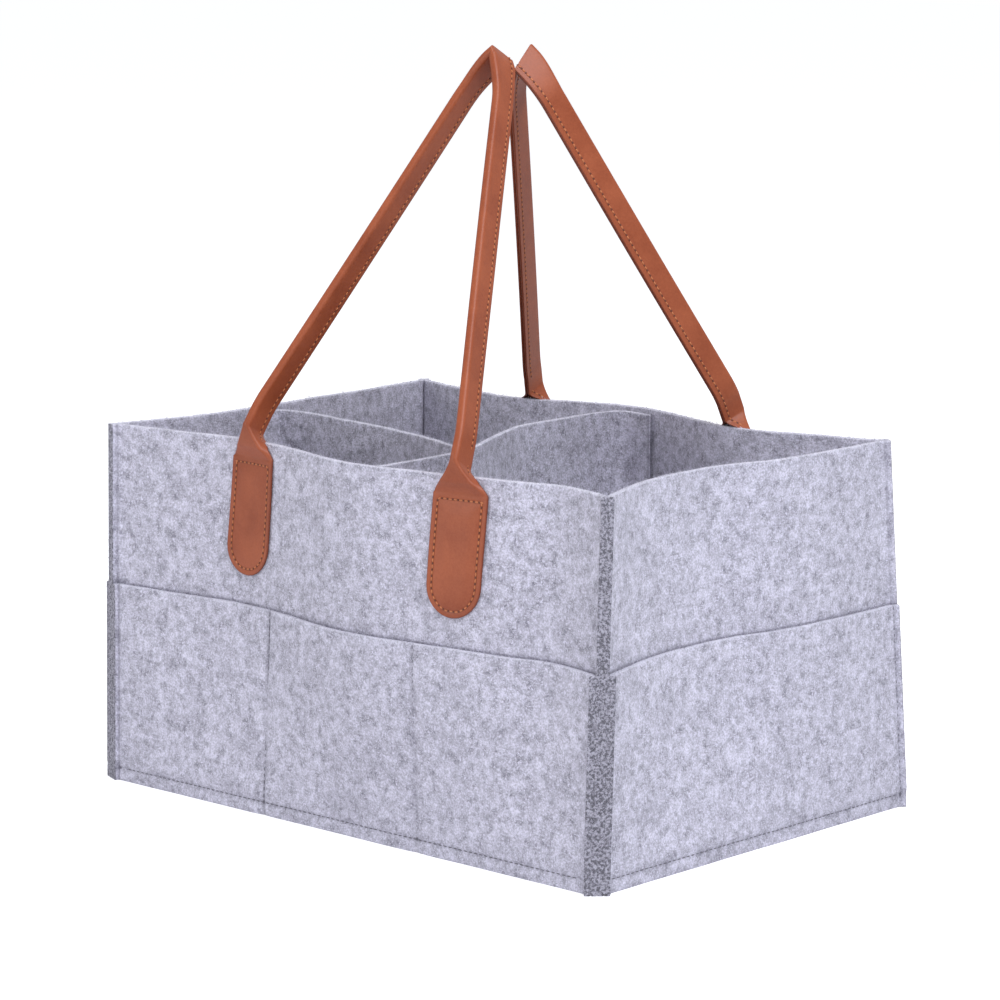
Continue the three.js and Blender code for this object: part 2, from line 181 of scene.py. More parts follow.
# Leather straps: a flat tab at each foot, then one strip folded along its length. The splay is
# how far the legs' straight lines miss the middle at the top, the draw how far each leg is drawn
# in at its foot, and the peak where both legs come together, from there. The twists turn the fold
# along the strip, in degrees, from its first foot over the top to its last, and the mitre turn
# leans the fold at the peak towards the last leg.
HANDLES = {
    "front": {"body": "front_handle", "span": 144 * MM, "middle": 5.5 * MM,
              "splay": (-6.2 * MM, 3.2 * MM), "draw": (0.9 * MM, 2.2 * MM),
              "peak": (1.2 * MM, -2.0 * MM), "mitre_turn": 18, "twists": (-5, -7, -8, 2, 2, 5),
              "nodes": ("front_left_tab", "front_right_tab", "front_strap")},
    "back": {"body": "rear_handle", "span": 138 * MM, "middle": 2.5 * MM,
             "splay": (-3.3 * MM, 6.8 * MM), "draw": (-0.5 * MM, 3.0 * MM),
             "peak": (1.9 * MM, -2.5 * MM), "mitre_turn": 0, "twists": (10, 10, 8, 10, 9, 8),
             "nodes": ("rear_left_tab", "rear_right_tab", "rear_strap")},
}
TWIST_AT = (0.03, 0.22, 0.45, 0.55, 0.78, 0.97)
TAB_LEAN = 0.075
TAB_WIDTH = 30.5 * MM
TAB_FOOT = 114 * MM
TAB_STEP = 0.8 * MM
TAB_ANGLES = np.radians(np.concatenate([[3, 8, 12.5, 17], np.arange(21, 90.1, 3.5)]))
TAB_PUFF = 0.45 * MM
HINGE_Z = WALL_HEIGHT + 1.2 * MM
STRAP_WIDTH = 28 * MM
RIDGE = 2.1 * MM
RIDGE_FLAT = 0.3 * MM
EDGE_INSET = 4.5 * MM
EDGE_STEPS = np.array([0.5, 0.3, 0.12, 0.0]) * MM
BEND_HEIGHT = 15 * MM
BEND_REACH = 7 * MM
LEG_SAG = 0.4 * MM
LEG_STEP = 1.8 * MM
APEX_HEIGHT = 179.2 * MM
APEX_X = 8 * MM
SHOULDER = 27 * MM
MITRE = 3.2 * MM
CROWN_DEPTH = 3.5 * MM
CROWN_LENGTH = 26 * MM
MITRE_SHARES = ((0.45, 0.75, 0.92), (0.08, 0.25, 0.55))
MEET = 0.5 * MM
FOLD = math.radians(94.3)
FOLD_STEPS = 26
FOLD_HASTE = 2.4
FOLD_WAIST = 2.5 * MM
FOLD_FOOT = 171.5 * MM
FOLD_TOP = 4 * MM
FOLD_CLEAR = 0.4 * MM
EDGE_CLEAR = 0.35
TAB_STITCH = 3 * MM
TAB_STITCH_TOP = 168.7 * MM
STRAP_STITCH = 3.2 * MM
GROOVE = 0.55 * MM
TAB_GROOVE = 0.28 * MM
STRAP_GROOVE = 0.16 * MM
PUFF_REACH = 7 * MM
SEWN_FOLD = 0.93
STRAP_THREAD = dict(height=0.55 * MM, rise=0.05 * MM)
# Size of the dark spots of painted shade that stand for the needle holes
NEEDLE_HOLE = dict(length=1.15 * MM, width=1.1 * MM, height=0.3 * MM, rise=0.08 * MM)

# Loose fibres: how many more stand on a rim than on a face, how far from its edge they stand, the
# share of them on a sewn end, and how high above the floor they start
RIM_FIBRES = 36
RIM_REACH = 1.1 * MM
END_FIBRES = 0.35
END_REACH = 0.3 * MM
FIBRE_FLOOR = 4 * MM

# Camera and lamps: place, size, power and colour
AZIMUTH, ELEVATION, DISTANCE = math.radians(42.86), math.radians(9.73), 1.867
AIM = np.array([-0.0003, -0.0003, 0.1462])
FOCAL_PIXELS, PICTURE_PIXELS, SENSOR = 3814, 1000, 36
LAMP_AIM = (0, 0, 0.12)
LAMPS = {
    "key_lamp": ((1.4, -0.5, 1.88), 1.3, 32.5, (0.9, 0.94, 1.0)),
    "fill_lamp": ((-0.85, -1.75, 0.44), 0.7, 5.6, (1.0, 1.0, 1.0)),
    "side_lamp": ((1.15, -1.65, 0.85), 0.9, 3.8, (0.96, 0.97, 1.0)),
    "top_lamp": ((0.1, 0.1, 2.2), 1.2, 10.5, (1.0, 1.0, 1.0)),
}


# Lines in plan

def unit(v):
    v = np.asarray(v, float)
    return v / np.maximum(np.linalg.norm(v, axis=-1, keepdims=True), 1e-12)


def right_of(v):
    v = np.asarray(v, float)
    return np.stack([v[..., 1], -v[..., 0]], -1)


def along(path):
    """How far along a path each of its points is."""
    return np.concatenate([[0.0], np.cumsum(np.linalg.norm(np.diff(path, axis=0), axis=1))])


def headings(path):
    return unit(np.gradient(path, along(path), axis=0))


def shifted(path, distance):
    """A plan line moved off to its right."""
    return path + right_of(headings(path)) * np.asarray(distance).reshape(-1, 1)


def sampled(values, length, at):
    """Values known at some lengths, read off at others."""
    return np.stack([np.interp(at, length, values[:, k]) for k in range(values.shape[1])], 1)


def resample(path, count):
    length = along(path)
    return sampled(path, length, np.linspace(0, length[-1], count))


def ease(x):
    x = np.clip(x, 0, 1)
    return x * x * (3 - 2 * x)


def near(distance, width):
    """One at no distance, fading to nothing past the width."""
    return np.exp(-(distance / width) ** 2)


def smooth_line(points):
    """A curve through the points that doesn't overshoot where they stand unevenly."""
    p = np.asarray(points, float)
    p = np.vstack([2 * p[0] - p[1], p, 2 * p[-1] - p[-2]])
    t = np.linspace(0, 1, CURVE_STEPS, endpoint=False)[:, None]
    out = []
    for i in range(1, len(p) - 2):
        q = p[i - 1:i + 3]
        d = [max(float(((q[k + 1] - q[k]) ** 2).sum()) ** 0.25, 1e-6) for k in range(3)]
        t1, t2 = (((q[k + 1] - q[k]) / d[k] - (q[k + 2] - q[k]) / (d[k] + d[k + 1])
                   + (q[k + 2] - q[k + 1]) / d[k + 1]) * d[1] for k in (0, 1))
        out.append(q[1] + t1 * t + (3 * (q[2] - q[1]) - 2 * t1 - t2) * t ** 2
                   + (2 * (q[1] - q[2]) + t1 + t2) * t ** 3)
    return np.vstack(out + [p[-2:-1]])


def pulled(a, b, c, count):
    """A curve from a to c that b pulls on."""
    t = np.linspace(0, 1, count)[:, None]
    return (1 - t) ** 2 * a + 2 * t * (1 - t) * b + t ** 2 * c


def bend(a, corner, b, reach, count):
    """The rounded corner between two straight lines."""
    return pulled(corner + unit(a - corner) * reach, corner, corner + unit(b - corner) * reach, count)


def risen(z):
    """Share of the wall's height above the base."""
    return max((z - BASE_TOP) / (WALL_HEIGHT - BASE_TOP), 0.0)


def corner_point(name, z):
    (x, y), _, (dx, dy) = CORNERS[name]
    draw = RIM_DRAW * risen(z)
    return np.array([x * (SEAM_LENGTH / 2 - dx * draw), y * (SEAM_DEPTH / 2 - dy * draw)])


def seam_direction(name):
    turn = math.radians(CORNERS[name][1])
    return np.array([math.sin(turn), -math.cos(turn)])


def mitre(corner, into, out, distance):
    a, b = right_of(into), right_of(out)
    return corner + (a + b) * distance / (1 + a @ b)


def hand_wave(share, z, key):
    """The slow unevenness of a felt wall, nothing at its corners."""
    wave = sum(deep * np.sin(share * SEAM_LENGTH / (run * MM) + z / (rise * MM) + turn * key)
               for deep, run, rise, turn in HAND_WAVES) * MM
    return wave * np.minimum(1, 12 * share) * np.minimum(1, 12 * (1 - share))


def outer_line(name, z):
    """The outermost line of a side of the box: seam tip, bend, wall, bend, seam tip."""
    first_corner, last_corner, bow, shares, count = WALLS[name]
    start, end = corner_point(first_corner, z), corner_point(last_corner, z)
    arriving, leaving = -seam_direction(first_corner), seam_direction(last_corner)
    run = unit(end - start)
    off = 2 * PITCH
    first, last = mitre(start, arriving, run, off), mitre(end, run, leaving, off)
    bow = bow * (1 - (1 - risen(z)) ** 2)
    ref = np.array([start] + [start + (end - start) * s + right_of(run) * o * bow for s, o in shares] + [end])
    wall = smooth_line(np.vstack([first, shifted(ref, off)[1:-1], last]))
    tip_a = start - arriving * SEAM_ALLOWANCE + right_of(arriving) * off
    tip_b = end + leaving * SEAM_ALLOWANCE + right_of(leaving) * off
    bend_a = bend(tip_a, first, wall[1], SEAM_BEND, SEAM_BEND_POINTS)
    bend_b = bend(wall[-2], last, tip_b, SEAM_BEND, SEAM_BEND_POINTS)

    def stub(tip, inner):
        reach = np.linalg.norm(inner - tip)
        at = np.concatenate([EDGE_ROWS, np.linspace(EDGE_ROWS[-1], reach, 4)[1:-1]])
        return tip + unit(inner - tip) * at[:, None]

    from_corners = np.minimum(np.linalg.norm(wall - first, axis=1), np.linalg.norm(wall - last, axis=1))
    middle = resample(wall[from_corners > CORNER_CLEAR], count)
    key = 1.3 * len(name) + shares[0][0] * 10
    middle = shifted(middle, hand_wave(np.linspace(0, 1, count), z, key))
    return np.vstack([stub(tip_a, bend_a[0]), bend_a, middle, bend_b, stub(tip_b, bend_b[-1])[::-1]])


LINES = {}


def face_line(name, z, layer, side):
    """Plan line of a panel's face.

    Layer 0 is the wall, 1 its pocket; side 1 is outside, 0 the middle and -1 inside.
    """
    key = (name, round(float(z), 7))
    if key not in LINES:
        LINES[key] = outer_line(name, z)
    return shifted(LINES[key], (layer - 1.5) * PITCH + side * FELT / 2)


def on_line(path, at, off=0.0):
    """Places at distances along a plan line, moved off it to the right, and the headings there."""
    length = along(path)
    heading = unit(sampled(headings(path), length, at))
    return sampled(path, length, at) + right_of(heading) * np.asarray(off).reshape(-1, 1), heading


def place_on(path, axis, value, ahead=0.0, off=0.0):
    """The same, from where one coordinate has a value."""
    length = along(path)
    d = path[:, axis] - value
    hit = np.where(d[:-1] * d[1:] <= 0)[0][-1]
    share = d[hit] / (d[hit] - d[hit + 1])
    return on_line(path, length[hit] + share * (length[hit + 1] - length[hit]) + np.atleast_1d(ahead), off)


def hold(name, z):
    """The line that a turned end of the divider lies on, and where it's held there."""
    if name == "middle":
        line = shifted(cross_line(WALL_HEIGHT), -FELT / 2)
    else:
        line = face_line(name, z if name == "front" else WALL_HEIGHT, 0, -1)
    return line, *HOLDS[name]


def divider_line(first, last, shares, z, count):
    """Middle line of a divider panel, from one turned end to the other.

    An end is given by where it's held, its flap's reach and two places in its fold.
    """
    def turned_end(name, flap, fold):
        line, axis, value, way = hold(name, z)
        tip, bent, at = (place_on(line, axis, value, way * ahead, -TAPE_SEAT)[0][0]
                         for ahead in (flap, FOLD_REACH, 0))
        return [tip, bent] + [at + np.array(step) * FOLD_REACH for step in fold]

    body = [np.array([x * SEAM_LENGTH / 2, y * SEAM_DEPTH / 2]) for x, y in shares]
    return resample(smooth_line(turned_end(*first) + body + turned_end(*last)[::-1]), count)


def cross_line(z):
    """Middle line of the full-depth divider."""
    return divider_line(("front", FLAP, ((-0.25, 0.25), (0, 1))),
                        ("back", FLAP + FLAP_MORE, ((0, -0.5), (-0.5, -2))), CROSS_SHARES, z, 150)


def half_line():
    """Middle line of the half-length divider, from the left wall to the full-depth one."""
    return divider_line(("left", FLAP, ((0.25, -0.25), (1, 0))),
                        ("middle", FLAP, ((-0.25, 0.25), (-1, 0))), HALF_SHARES, WALL_HEIGHT, 110)


# Meshes

def placed(name, data):
    """A new object in the scene."""
    made = bpy.data.objects.new(name, data)
    bpy.context.scene.collection.objects.link(made)
    return made


def new_object(name, points, edges=(), faces=()):
    mesh = bpy.data.meshes.new(name)
    mesh.from_pydata(np.asarray(points, float).reshape(-1, 3).tolist(), list(edges), list(faces))
    return placed(name, mesh)


def read(data, key, width=1, kind=float):
    """One property of all points, corners or triangles of a mesh."""
    values = np.empty(len(data) * width, kind)
    data.foreach_get(key, values)
    return values.reshape(-1, width) if width > 1 else values


def new_piece(name, points, faces, material):
    """A closed mesh with its faces turned outwards."""
    piece = new_object(name, points, faces=faces)
    mesh = piece.data
    mesh.validate()
    mesh.shade_smooth()
    mesh.materials.append(material)
    mesh.calc_loop_triangles()
    corners = read(mesh.vertices, "co", 3)[read(mesh.loop_triangles, "vertices", 3, int)]
    if np.sum(corners[:, 0] * np.cross(corners[:, 1], corners[:, 2])) < 0:
        mesh.flip_normals()
    return piece


def tube_faces(points, across=False):
    """Faces between closed rings of points, and a cap at each end: one face, or quads across it."""
    count, ring = points.shape[:2]
    index = np.arange(count * ring).reshape(count, ring)
    nxt = np.roll(index, -1, axis=1)
    faces = np.stack([index[:-1], nxt[:-1], nxt[1:], index[1:]], -1).reshape(-1, 4).tolist()
    for cap in (index[0][::-1].tolist(), index[-1].tolist()):
        faces += [[cap[k], cap[k + 1], cap[-2 - k], cap[-1 - k]]
                  for k in range(ring // 2 - 1)] if across else [cap]
    return faces


def store(piece, name, values):
    """A number on each point, for the material."""
    attribute = piece.data.attributes.new(name, "FLOAT", "POINT")
    attribute.data.foreach_set("value", np.asarray(values, np.float32).ravel())


def edge_profile(inset, half, radius):
    """Half thickness of a sheet at a distance in from its cut edge."""
    t = np.clip(np.asarray(inset, float) / radius, 0, 1)
    return half - radius + radius * np.sqrt(np.clip(1 - (1 - t) ** 2, 0, 1))


def both_faces(outer, inner):
    """Values of a sheet in the order of its rings: the outer face, then the inner one turned round."""
    return np.concatenate([outer, np.array(inner)[:, ::-1]], axis=1)


def felt_sheet(name, line_at, heights, material, bare, key, marks=None, fins=False):
    """A standing felt panel. Its marks are how far its outer face is drawn in and how much painted shade it
    takes.

    Fins are the ends that are sewn together at a corner: they are pressed flat against each other.
    Bare gives the heights above which the outer and the inner face lie open.
    """
    foot, top = heights[0], heights[-1]
    rows = np.concatenate([foot + EDGE_ROWS, heights[1:-1], (top - EDGE_ROWS)[::-1]])
    outer, inner, cut, ends, painted_shade, open_face = [], [], [], [], [], []
    for z in np.unique(np.round(rows, 7)):
        line = line_at(z)
        normal = right_of(headings(line))
        length = along(line)
        from_end = np.minimum(length, length[-1] - length)
        from_top = min(z - foot, top - z)
        half = np.minimum(edge_profile(from_end, FELT / 2, FIN_ROUND if fins else CUT_ROUND),
                          edge_profile(from_top, FELT / 2, CUT_ROUND))
        if fins:
            half += SEAT / 2 * (1 - ease((from_end - PRESSED) / PRESS_FADE))
        in_top_quarter = ease((z - foot) / (top - foot) * 4 - 3)
        lift = RIM_WAVE * in_top_quarter * sum(
            share * np.sin(length / (run * MM) + turn * key) for share, run, turn in RIM_WAVES)
        # The marks' second value is painted shade, kept on the outer face only.
        depth, dark = marks(line, length, z) if marks else (0.0, np.zeros(len(line)))
        outer.append(np.column_stack([line + normal * (half - depth)[:, None], z + lift]))
        inner.append(np.column_stack([line - normal * half[:, None], z + lift]))
        cut.append(np.full(len(line), from_top))
        ends.append(from_end + (0 if fins else NO_SEAM))
        painted_shade.append(dark)
        open_face.append(np.repeat([float(z >= level) for level in bare], len(line)))
    ring = both_faces(outer, inner)
    piece = new_piece(name, ring, tube_faces(ring, across=True), material)
    store(piece, "cut_edge", both_faces(cut, cut))
    store(piece, "sewn_end", both_faces(ends, ends))
    store(piece, "painted_shade", both_faces(painted_shade, np.zeros_like(painted_shade)))
    store(piece, "bare", open_face)
    return piece


# Leather strip

def hinge_point(wall, side):
    """Where a tab's middle crosses the rim, and the wall's heading there."""
    handle = HANDLES[wall]
    p, heading = place_on(face_line(wall, WALL_HEIGHT, 0, 1), 0,
                          handle["middle"] + side * handle["span"] / 2, 0, SEAT + LEATHER / 2)
    return p[0], heading[0]


def strap_frame(wall):
    """The strap's own frame: along the rim, inwards and up from the middle of its feet."""
    sign = 1 if wall == "front" else -1
    (start, head_a), (end, head_b) = hinge_point(wall, -sign), hinge_point(wall, sign)
    run = unit(end - start)
    inward = -right_of(run)
    middle = (start + end) / 2
    to = np.array([APEX_X, 0.0]) - inward * MEET - middle
    across = to @ inward
    reach = math.sqrt(across ** 2 + APEX_HEIGHT ** 2 - EDGE_INSET ** 2)
    lean = math.atan2(across, APEX_HEIGHT) - math.atan2(EDGE_INSET, reach)
    return dict(wall=wall, sign=sign, lean=lean, reach=reach, origin=np.array([*middle, HINGE_Z]),
                axes=np.array([[*run, 0], [*inward, 0], [0, 0, 1]]),
                half=float(np.linalg.norm(end - start)) / 2, apex=float(to @ run),
                skews=[math.atan2(float(head @ inward), float(head @ run)) for head in (head_a, head_b)])


def turned(f, x, y, z):
    return np.array([x, y, z], float) @ f["axes"]


def fold_depth(half, flat=RIDGE_FLAT, fold=FOLD):
    """How deep the folded strip is, from its ridge to its cut edges."""
    rho = RIDGE / max(fold, 1e-4)
    return rho * (1 - math.cos(fold)) + max(half - flat - RIDGE, 0) * math.sin(fold)


def leg_line(f, side):
    """Middle line of one leg in the strap's own plane, from its foot to the peak."""
    handle = HANDLES[f["wall"]]
    which = 0 if side < 0 else 1
    top = np.array([f["apex"], f["reach"]])
    aim, peak = top + [handle["splay"][which], 0], top + handle["peak"]
    foot = np.array([side * f["half"], 0.0])
    knee = np.array([side * (f["half"] - handle["draw"][which]), BEND_HEIGHT])
    low = bend(foot, knee, aim, BEND_REACH, 9)
    shoulder = aim + unit(knee - aim) * SHOULDER
    share = np.linspace(0, 1, int(np.linalg.norm(shoulder - low[-1]) / LEG_STEP))[1:-1, None]
    sag = np.array([side * LEG_SAG, 0]) * np.sin(math.pi * share)
    leg = low[-1] + (shoulder - low[-1]) * share - sag
    crown = pulled(shoulder, (shoulder + aim) / 2, peak, 60)
    crown = crown[np.linalg.norm(crown - peak, axis=1) >= MITRE]
    return np.vstack([low, leg, resample(crown, 12), peak])


def leg_rows(f, side):
    """Rows of one foot, from the tab's round end to the start of the folded strip."""
    handle = HANDLES[f["wall"]]
    which = 0 if side < 0 else 1
    x0 = handle["middle"] + side * f["sign"] * handle["span"] / 2
    r = TAB_WIDTH / 2
    heights = TAB_FOOT + r * (1 - np.cos(TAB_ANGLES))
    straight = np.linspace(heights[-1], FOLD_FOOT, int((FOLD_FOOT - heights[-1]) / TAB_STEP) + 1)[1:]
    heights = np.concatenate([heights, straight])
    halves = np.concatenate([r * np.sin(TAB_ANGLES), np.full(len(straight), r)])
    rows = [dict(kind="tab", flip=side > 0, z=z, h=h, flat=max(h - 4 * MM, 0.3 * h),
                 turn=min(2 * MM, 0.4 * h), x0=x0 + (z - FOLD_FOOT) * TAB_LEAN)
            for z, h in zip(heights, halves)]
    th = f["lean"]
    low = FOLD_FOOT - HINGE_Z
    high = FOLD_TOP * math.cos(th) + (fold_depth(STRAP_WIDTH / 2) - EDGE_INSET) * math.sin(th)
    last_inset = EDGE_INSET * math.cos(th) + FOLD_TOP * math.sin(th)
    twist = side * math.radians(handle["twists"][-which])
    for k in range(1, FOLD_STEPS + 1):
        t = k / FOLD_STEPS
        half = (TAB_WIDTH * (1 - t) + STRAP_WIDTH * t) / 2 - FOLD_WAIST * math.sin(math.pi * t)
        flat = (TAB_WIDTH / 2 - RIDGE * 1.2) * (1 - t) ** 1.25 + RIDGE_FLAT * t
        fold = FOLD * (1 - (1 - t) ** FOLD_HASTE)
        tilt = th * float(ease(t))
        inset = last_inset * max((t - EDGE_CLEAR) / (1 - EDGE_CLEAR), 0)
        out = fold_depth(half, flat, fold) * math.cos(tilt) - inset
        m = float(ease((t - 0.3) / 0.7))
        angle = f["skews"][which] * (1 - m) + twist * m
        sin, cos = math.sin(angle), math.cos(angle)
        rows.append(dict(
            kind="fold", flip=side > 0, h=half, flat=flat, turn=RIDGE, fold=fold,
            centre=f["origin"] + turned(f, side * f["half"], -out, low + (high - low) * t),
            across=turned(f, cos, sin, 0),
            inward=turned(f, -sin * math.cos(tilt), cos * math.cos(tilt), -math.sin(tilt))))
    return rows


def handle_rows(wall):
    """The strap's frame, and its rows from one tab over the peak to the other."""
    f = strap_frame(wall)
    up, down = leg_line(f, -1), leg_line(f, 1)
    plane = np.vstack([up, down[-2::-1]])
    sin, cos = math.sin(f["lean"]), math.cos(f["lean"])
    sides = right_of(headings(plane))
    length = along(plane)
    tip = len(up) - 1
    mitre_turn = math.radians(HANDLES[wall]["mitre_turn"])
    mitre_line = np.array([-math.sin(mitre_turn), math.cos(mitre_turn)])
    rise = unit(up[-1] - up[-2])
    sides[tip] = -mitre_line / max(abs(rise[0] * mitre_line[1] - rise[1] * mitre_line[0]), 0.3)
    inward = turned(f, 0, cos, -sin)
    middle = []
    for k, (p, s, at) in enumerate(zip(plane, sides, length)):
        if min(at, length[-1] - at) < FOLD_TOP + FOLD_CLEAR:
            continue
        crown = 1 - float(ease(abs(at - length[tip]) / CROWN_LENGTH))
        half = STRAP_WIDTH / 2 + CROWN_DEPTH * crown
        depth = fold_depth(half) - EDGE_INSET
        across = turned(f, s[0], s[1] * sin, s[1] * cos)
        twist = math.radians(float(np.interp(at / length[-1], TWIST_AT, HANDLES[wall]["twists"])))
        row = dict(kind="fold", flip=False, h=half, flat=RIDGE_FLAT, turn=RIDGE, fold=FOLD,
                   centre=f["origin"] + turned(f, p[0], p[1] * sin - depth * cos, p[1] * cos + depth * sin),
                   across=across * math.cos(twist) - inward * math.sin(twist),
                   inward=inward * math.cos(twist) + across * math.sin(twist))
        if k in (tip, tip + 1):
            last = middle[-1]
            for share in MITRE_SHARES[k - tip]:
                middle.append({**row, **{key: last[key] * (1 - share) + row[key] * share
                                         for key in ("centre", "across", "inward", "h")}})
        middle.append(row)
    return f, leg_rows(f, -1) + middle + leg_rows(f, 1)[::-1]


def strip_columns(row):
    """Places across the strip, closer together where it bends, is sewn or ends."""
    h, flat, turn = row["h"], row["flat"], row["turn"]
    tight = min(1.0, h / (2 * MM))
    last = max(h - 0.65 * MM * tight, flat + turn + (h - flat - turn) * 0.5)
    side = np.concatenate([np.linspace(0, flat, 7)[1:], flat + np.linspace(0, turn, 9)[1:],
                           np.linspace(flat + turn, last, 7)[1:], h - EDGE_STEPS * tight])
    return np.concatenate([-side[::-1], [0], side])


def strip_points(f, row, places, off):
    """Points of the strip and its normals, given places across it and how far off its middle."""
    if row["kind"] == "tab":
        p, heading = place_on(face_line(f["wall"], row["z"], 0, 1), 0, row["x0"],
                              -places if row["flip"] else places, SEAT + LEATHER / 2 + off)
        normal = np.column_stack([right_of(heading), np.zeros(len(p))])
        return np.column_stack([p, np.full(len(p), row["z"])]), normal
    s, m = np.sign(places), np.abs(places)
    phi = max(row["fold"], 1e-4)
    rho = row["turn"] / phi
    b = np.clip((m - row["flat"]) / row["turn"], 0, 1) * phi
    flank = np.maximum(m - row["flat"] - row["turn"], 0)
    x = s * (np.minimum(m, row["flat"]) + rho * np.sin(b) + flank * math.cos(phi))
    y = rho * (1 - np.cos(b)) + flank * math.sin(phi)
    across = -row["across"] if row["flip"] else row["across"]
    normal = np.outer(s * np.sin(b), across) - np.outer(np.cos(b), row["inward"])
    p = row["centre"] + np.outer(x, across) + np.outer(y, row["inward"])
    return p + normal * np.asarray(off).reshape(-1, 1), normal


def edge_inset(row, places):
    """How far in from the strip's cut edge each place is."""
    drop = TAB_FOOT + TAB_WIDTH / 2 - row["z"] if row["kind"] == "tab" else 0
    if drop > 0:
        return np.maximum(TAB_WIDTH / 2 - np.hypot(places, drop), 0)
    return np.maximum(row["h"] - np.abs(places), 0)


def leather_relief(row, inset):
    """Puffed middle and sewn groove on the tab's face, and the sewn groove along the strap."""
    if row["kind"] == "fold":
        return -STRAP_GROOVE * near(inset - STRAP_STITCH, GROOVE) * float(ease(row["fold"] / FOLD * 3 - 2))
    below = TAB_STITCH_TOP - row["z"]
    seam = np.where(inset > TAB_STITCH, abs(below), 1.0)
    if below > 0:
        seam = np.minimum(seam, np.abs(inset - TAB_STITCH))
    puff = TAB_PUFF * ease(np.minimum(inset - TAB_STITCH, below) / PUFF_REACH)
    return puff - TAB_GROOVE * near(seam, GROOVE)


def leather_strip(name, f, rows, material):
    points, inset = [], []
    for row in rows:
        places = strip_columns(row)
        depth = edge_inset(row, places)
        half = np.maximum(edge_profile(depth, LEATHER / 2, LEATHER / 2), 0)
        relief = leather_relief(row, depth) * np.minimum(1, depth / (0.4 * MM))
        points.append(np.vstack([strip_points(f, row, places, half + relief)[0],
                                 strip_points(f, row, places[1:-1], -half[1:-1])[0][::-1]]))
        inset.append(np.concatenate([depth, depth[1:-1][::-1]]))
    points = np.array(points)
    piece = new_piece(name, points, tube_faces(points), material)
    store(piece, "cut_edge", inset)
    return piece


# Node groups and materials

def node(tree, kind, values=None, **settings):
    """A new node. Each input is given a plain value, an output, or a node for its first output."""
    made = tree.nodes.new(kind)
    for key, value in settings.items():
        setattr(made, key, value)
    for key, value in (values or {}).items():
        if isinstance(value, bpy.types.Node):
            value = value.outputs[0]
        if isinstance(value, bpy.types.NodeSocket):
            tree.links.new(value, made.inputs[key])
        else:
            made.inputs[key].default_value = value
    return made


def lay_out(tree):
    """Stands the nodes in columns, each to the left of all that it feeds."""
    column = {made.name: 0 for made in tree.nodes}
    for _ in tree.nodes:
        for link in tree.links:
            column[link.from_node.name] = max(column[link.from_node.name], column[link.to_node.name] + 1)
    filled = {}
    for made in tree.nodes:
        place = column[made.name]
        made.location = (-240 * place, -280 * filled.get(place, 0))
        filled[place] = filled.get(place, 0) + 1


def new_tree(name, kind, inputs, outputs):
    """A node group and its inputs, each given by its starting number or else its kind of socket."""
    tree = bpy.data.node_groups.new(name, kind)
    for title, value in inputs.items():
        word = value if isinstance(value, str) else type(value).__name__.capitalize()
        socket = tree.interface.new_socket(name=title, in_out="INPUT", socket_type="NodeSocket" + word)
        if word != value:
            socket.default_value = value
    for title, word in outputs.items():
        tree.interface.new_socket(name=title, in_out="OUTPUT", socket_type="NodeSocket" + word)
    return tree, node(tree, "NodeGroupInput").outputs


def maths(tree, operation, a, b=None, clamp=False):
    values = {0: a} if b is None else {0: a, 1: b}
    return node(tree, "ShaderNodeMath", values, operation=operation, use_clamp=clamp).outputs[0]


def beyond(tree, value, level, factor, clamp=False):
    """How far a value is past a level, by a factor."""
    return maths(tree, "MULTIPLY", maths(tree, "SUBTRACT", value, level), factor, clamp)


def noise(tree, vector, scale, detail, roughness=0.5, distortion=0.0):
    return node(tree, "ShaderNodeTexNoise", {"Vector": vector, "Scale": scale, "Detail": detail,
                                             "Roughness": roughness, "Distortion": distortion})


def blended(tree, a, share, b):
    """A share of one value and the rest of another."""
    return maths(tree, "ADD", maths(tree, "MULTIPLY", a, share), maths(tree, "MULTIPLY", b, 1 - share))


def mixed(tree, factor, a, b):
    """One colour going over into another."""
    a, b = (value if isinstance(value, bpy.types.NodeSocket) else (*value, 1) for value in (a, b))
    return node(tree, "ShaderNodeMix", {0: factor, 6: a, 7: b}, data_type="RGBA").outputs[2]


def colour(r, g, b):
    """A colour given as it looks on screen, 0 to 255."""
    def linear(c):
        c /= 255
        return c / 12.92 if c <= 0.04045 else ((c + 0.055) / 1.055) ** 2.4
    return linear(r), linear(g), linear(b)


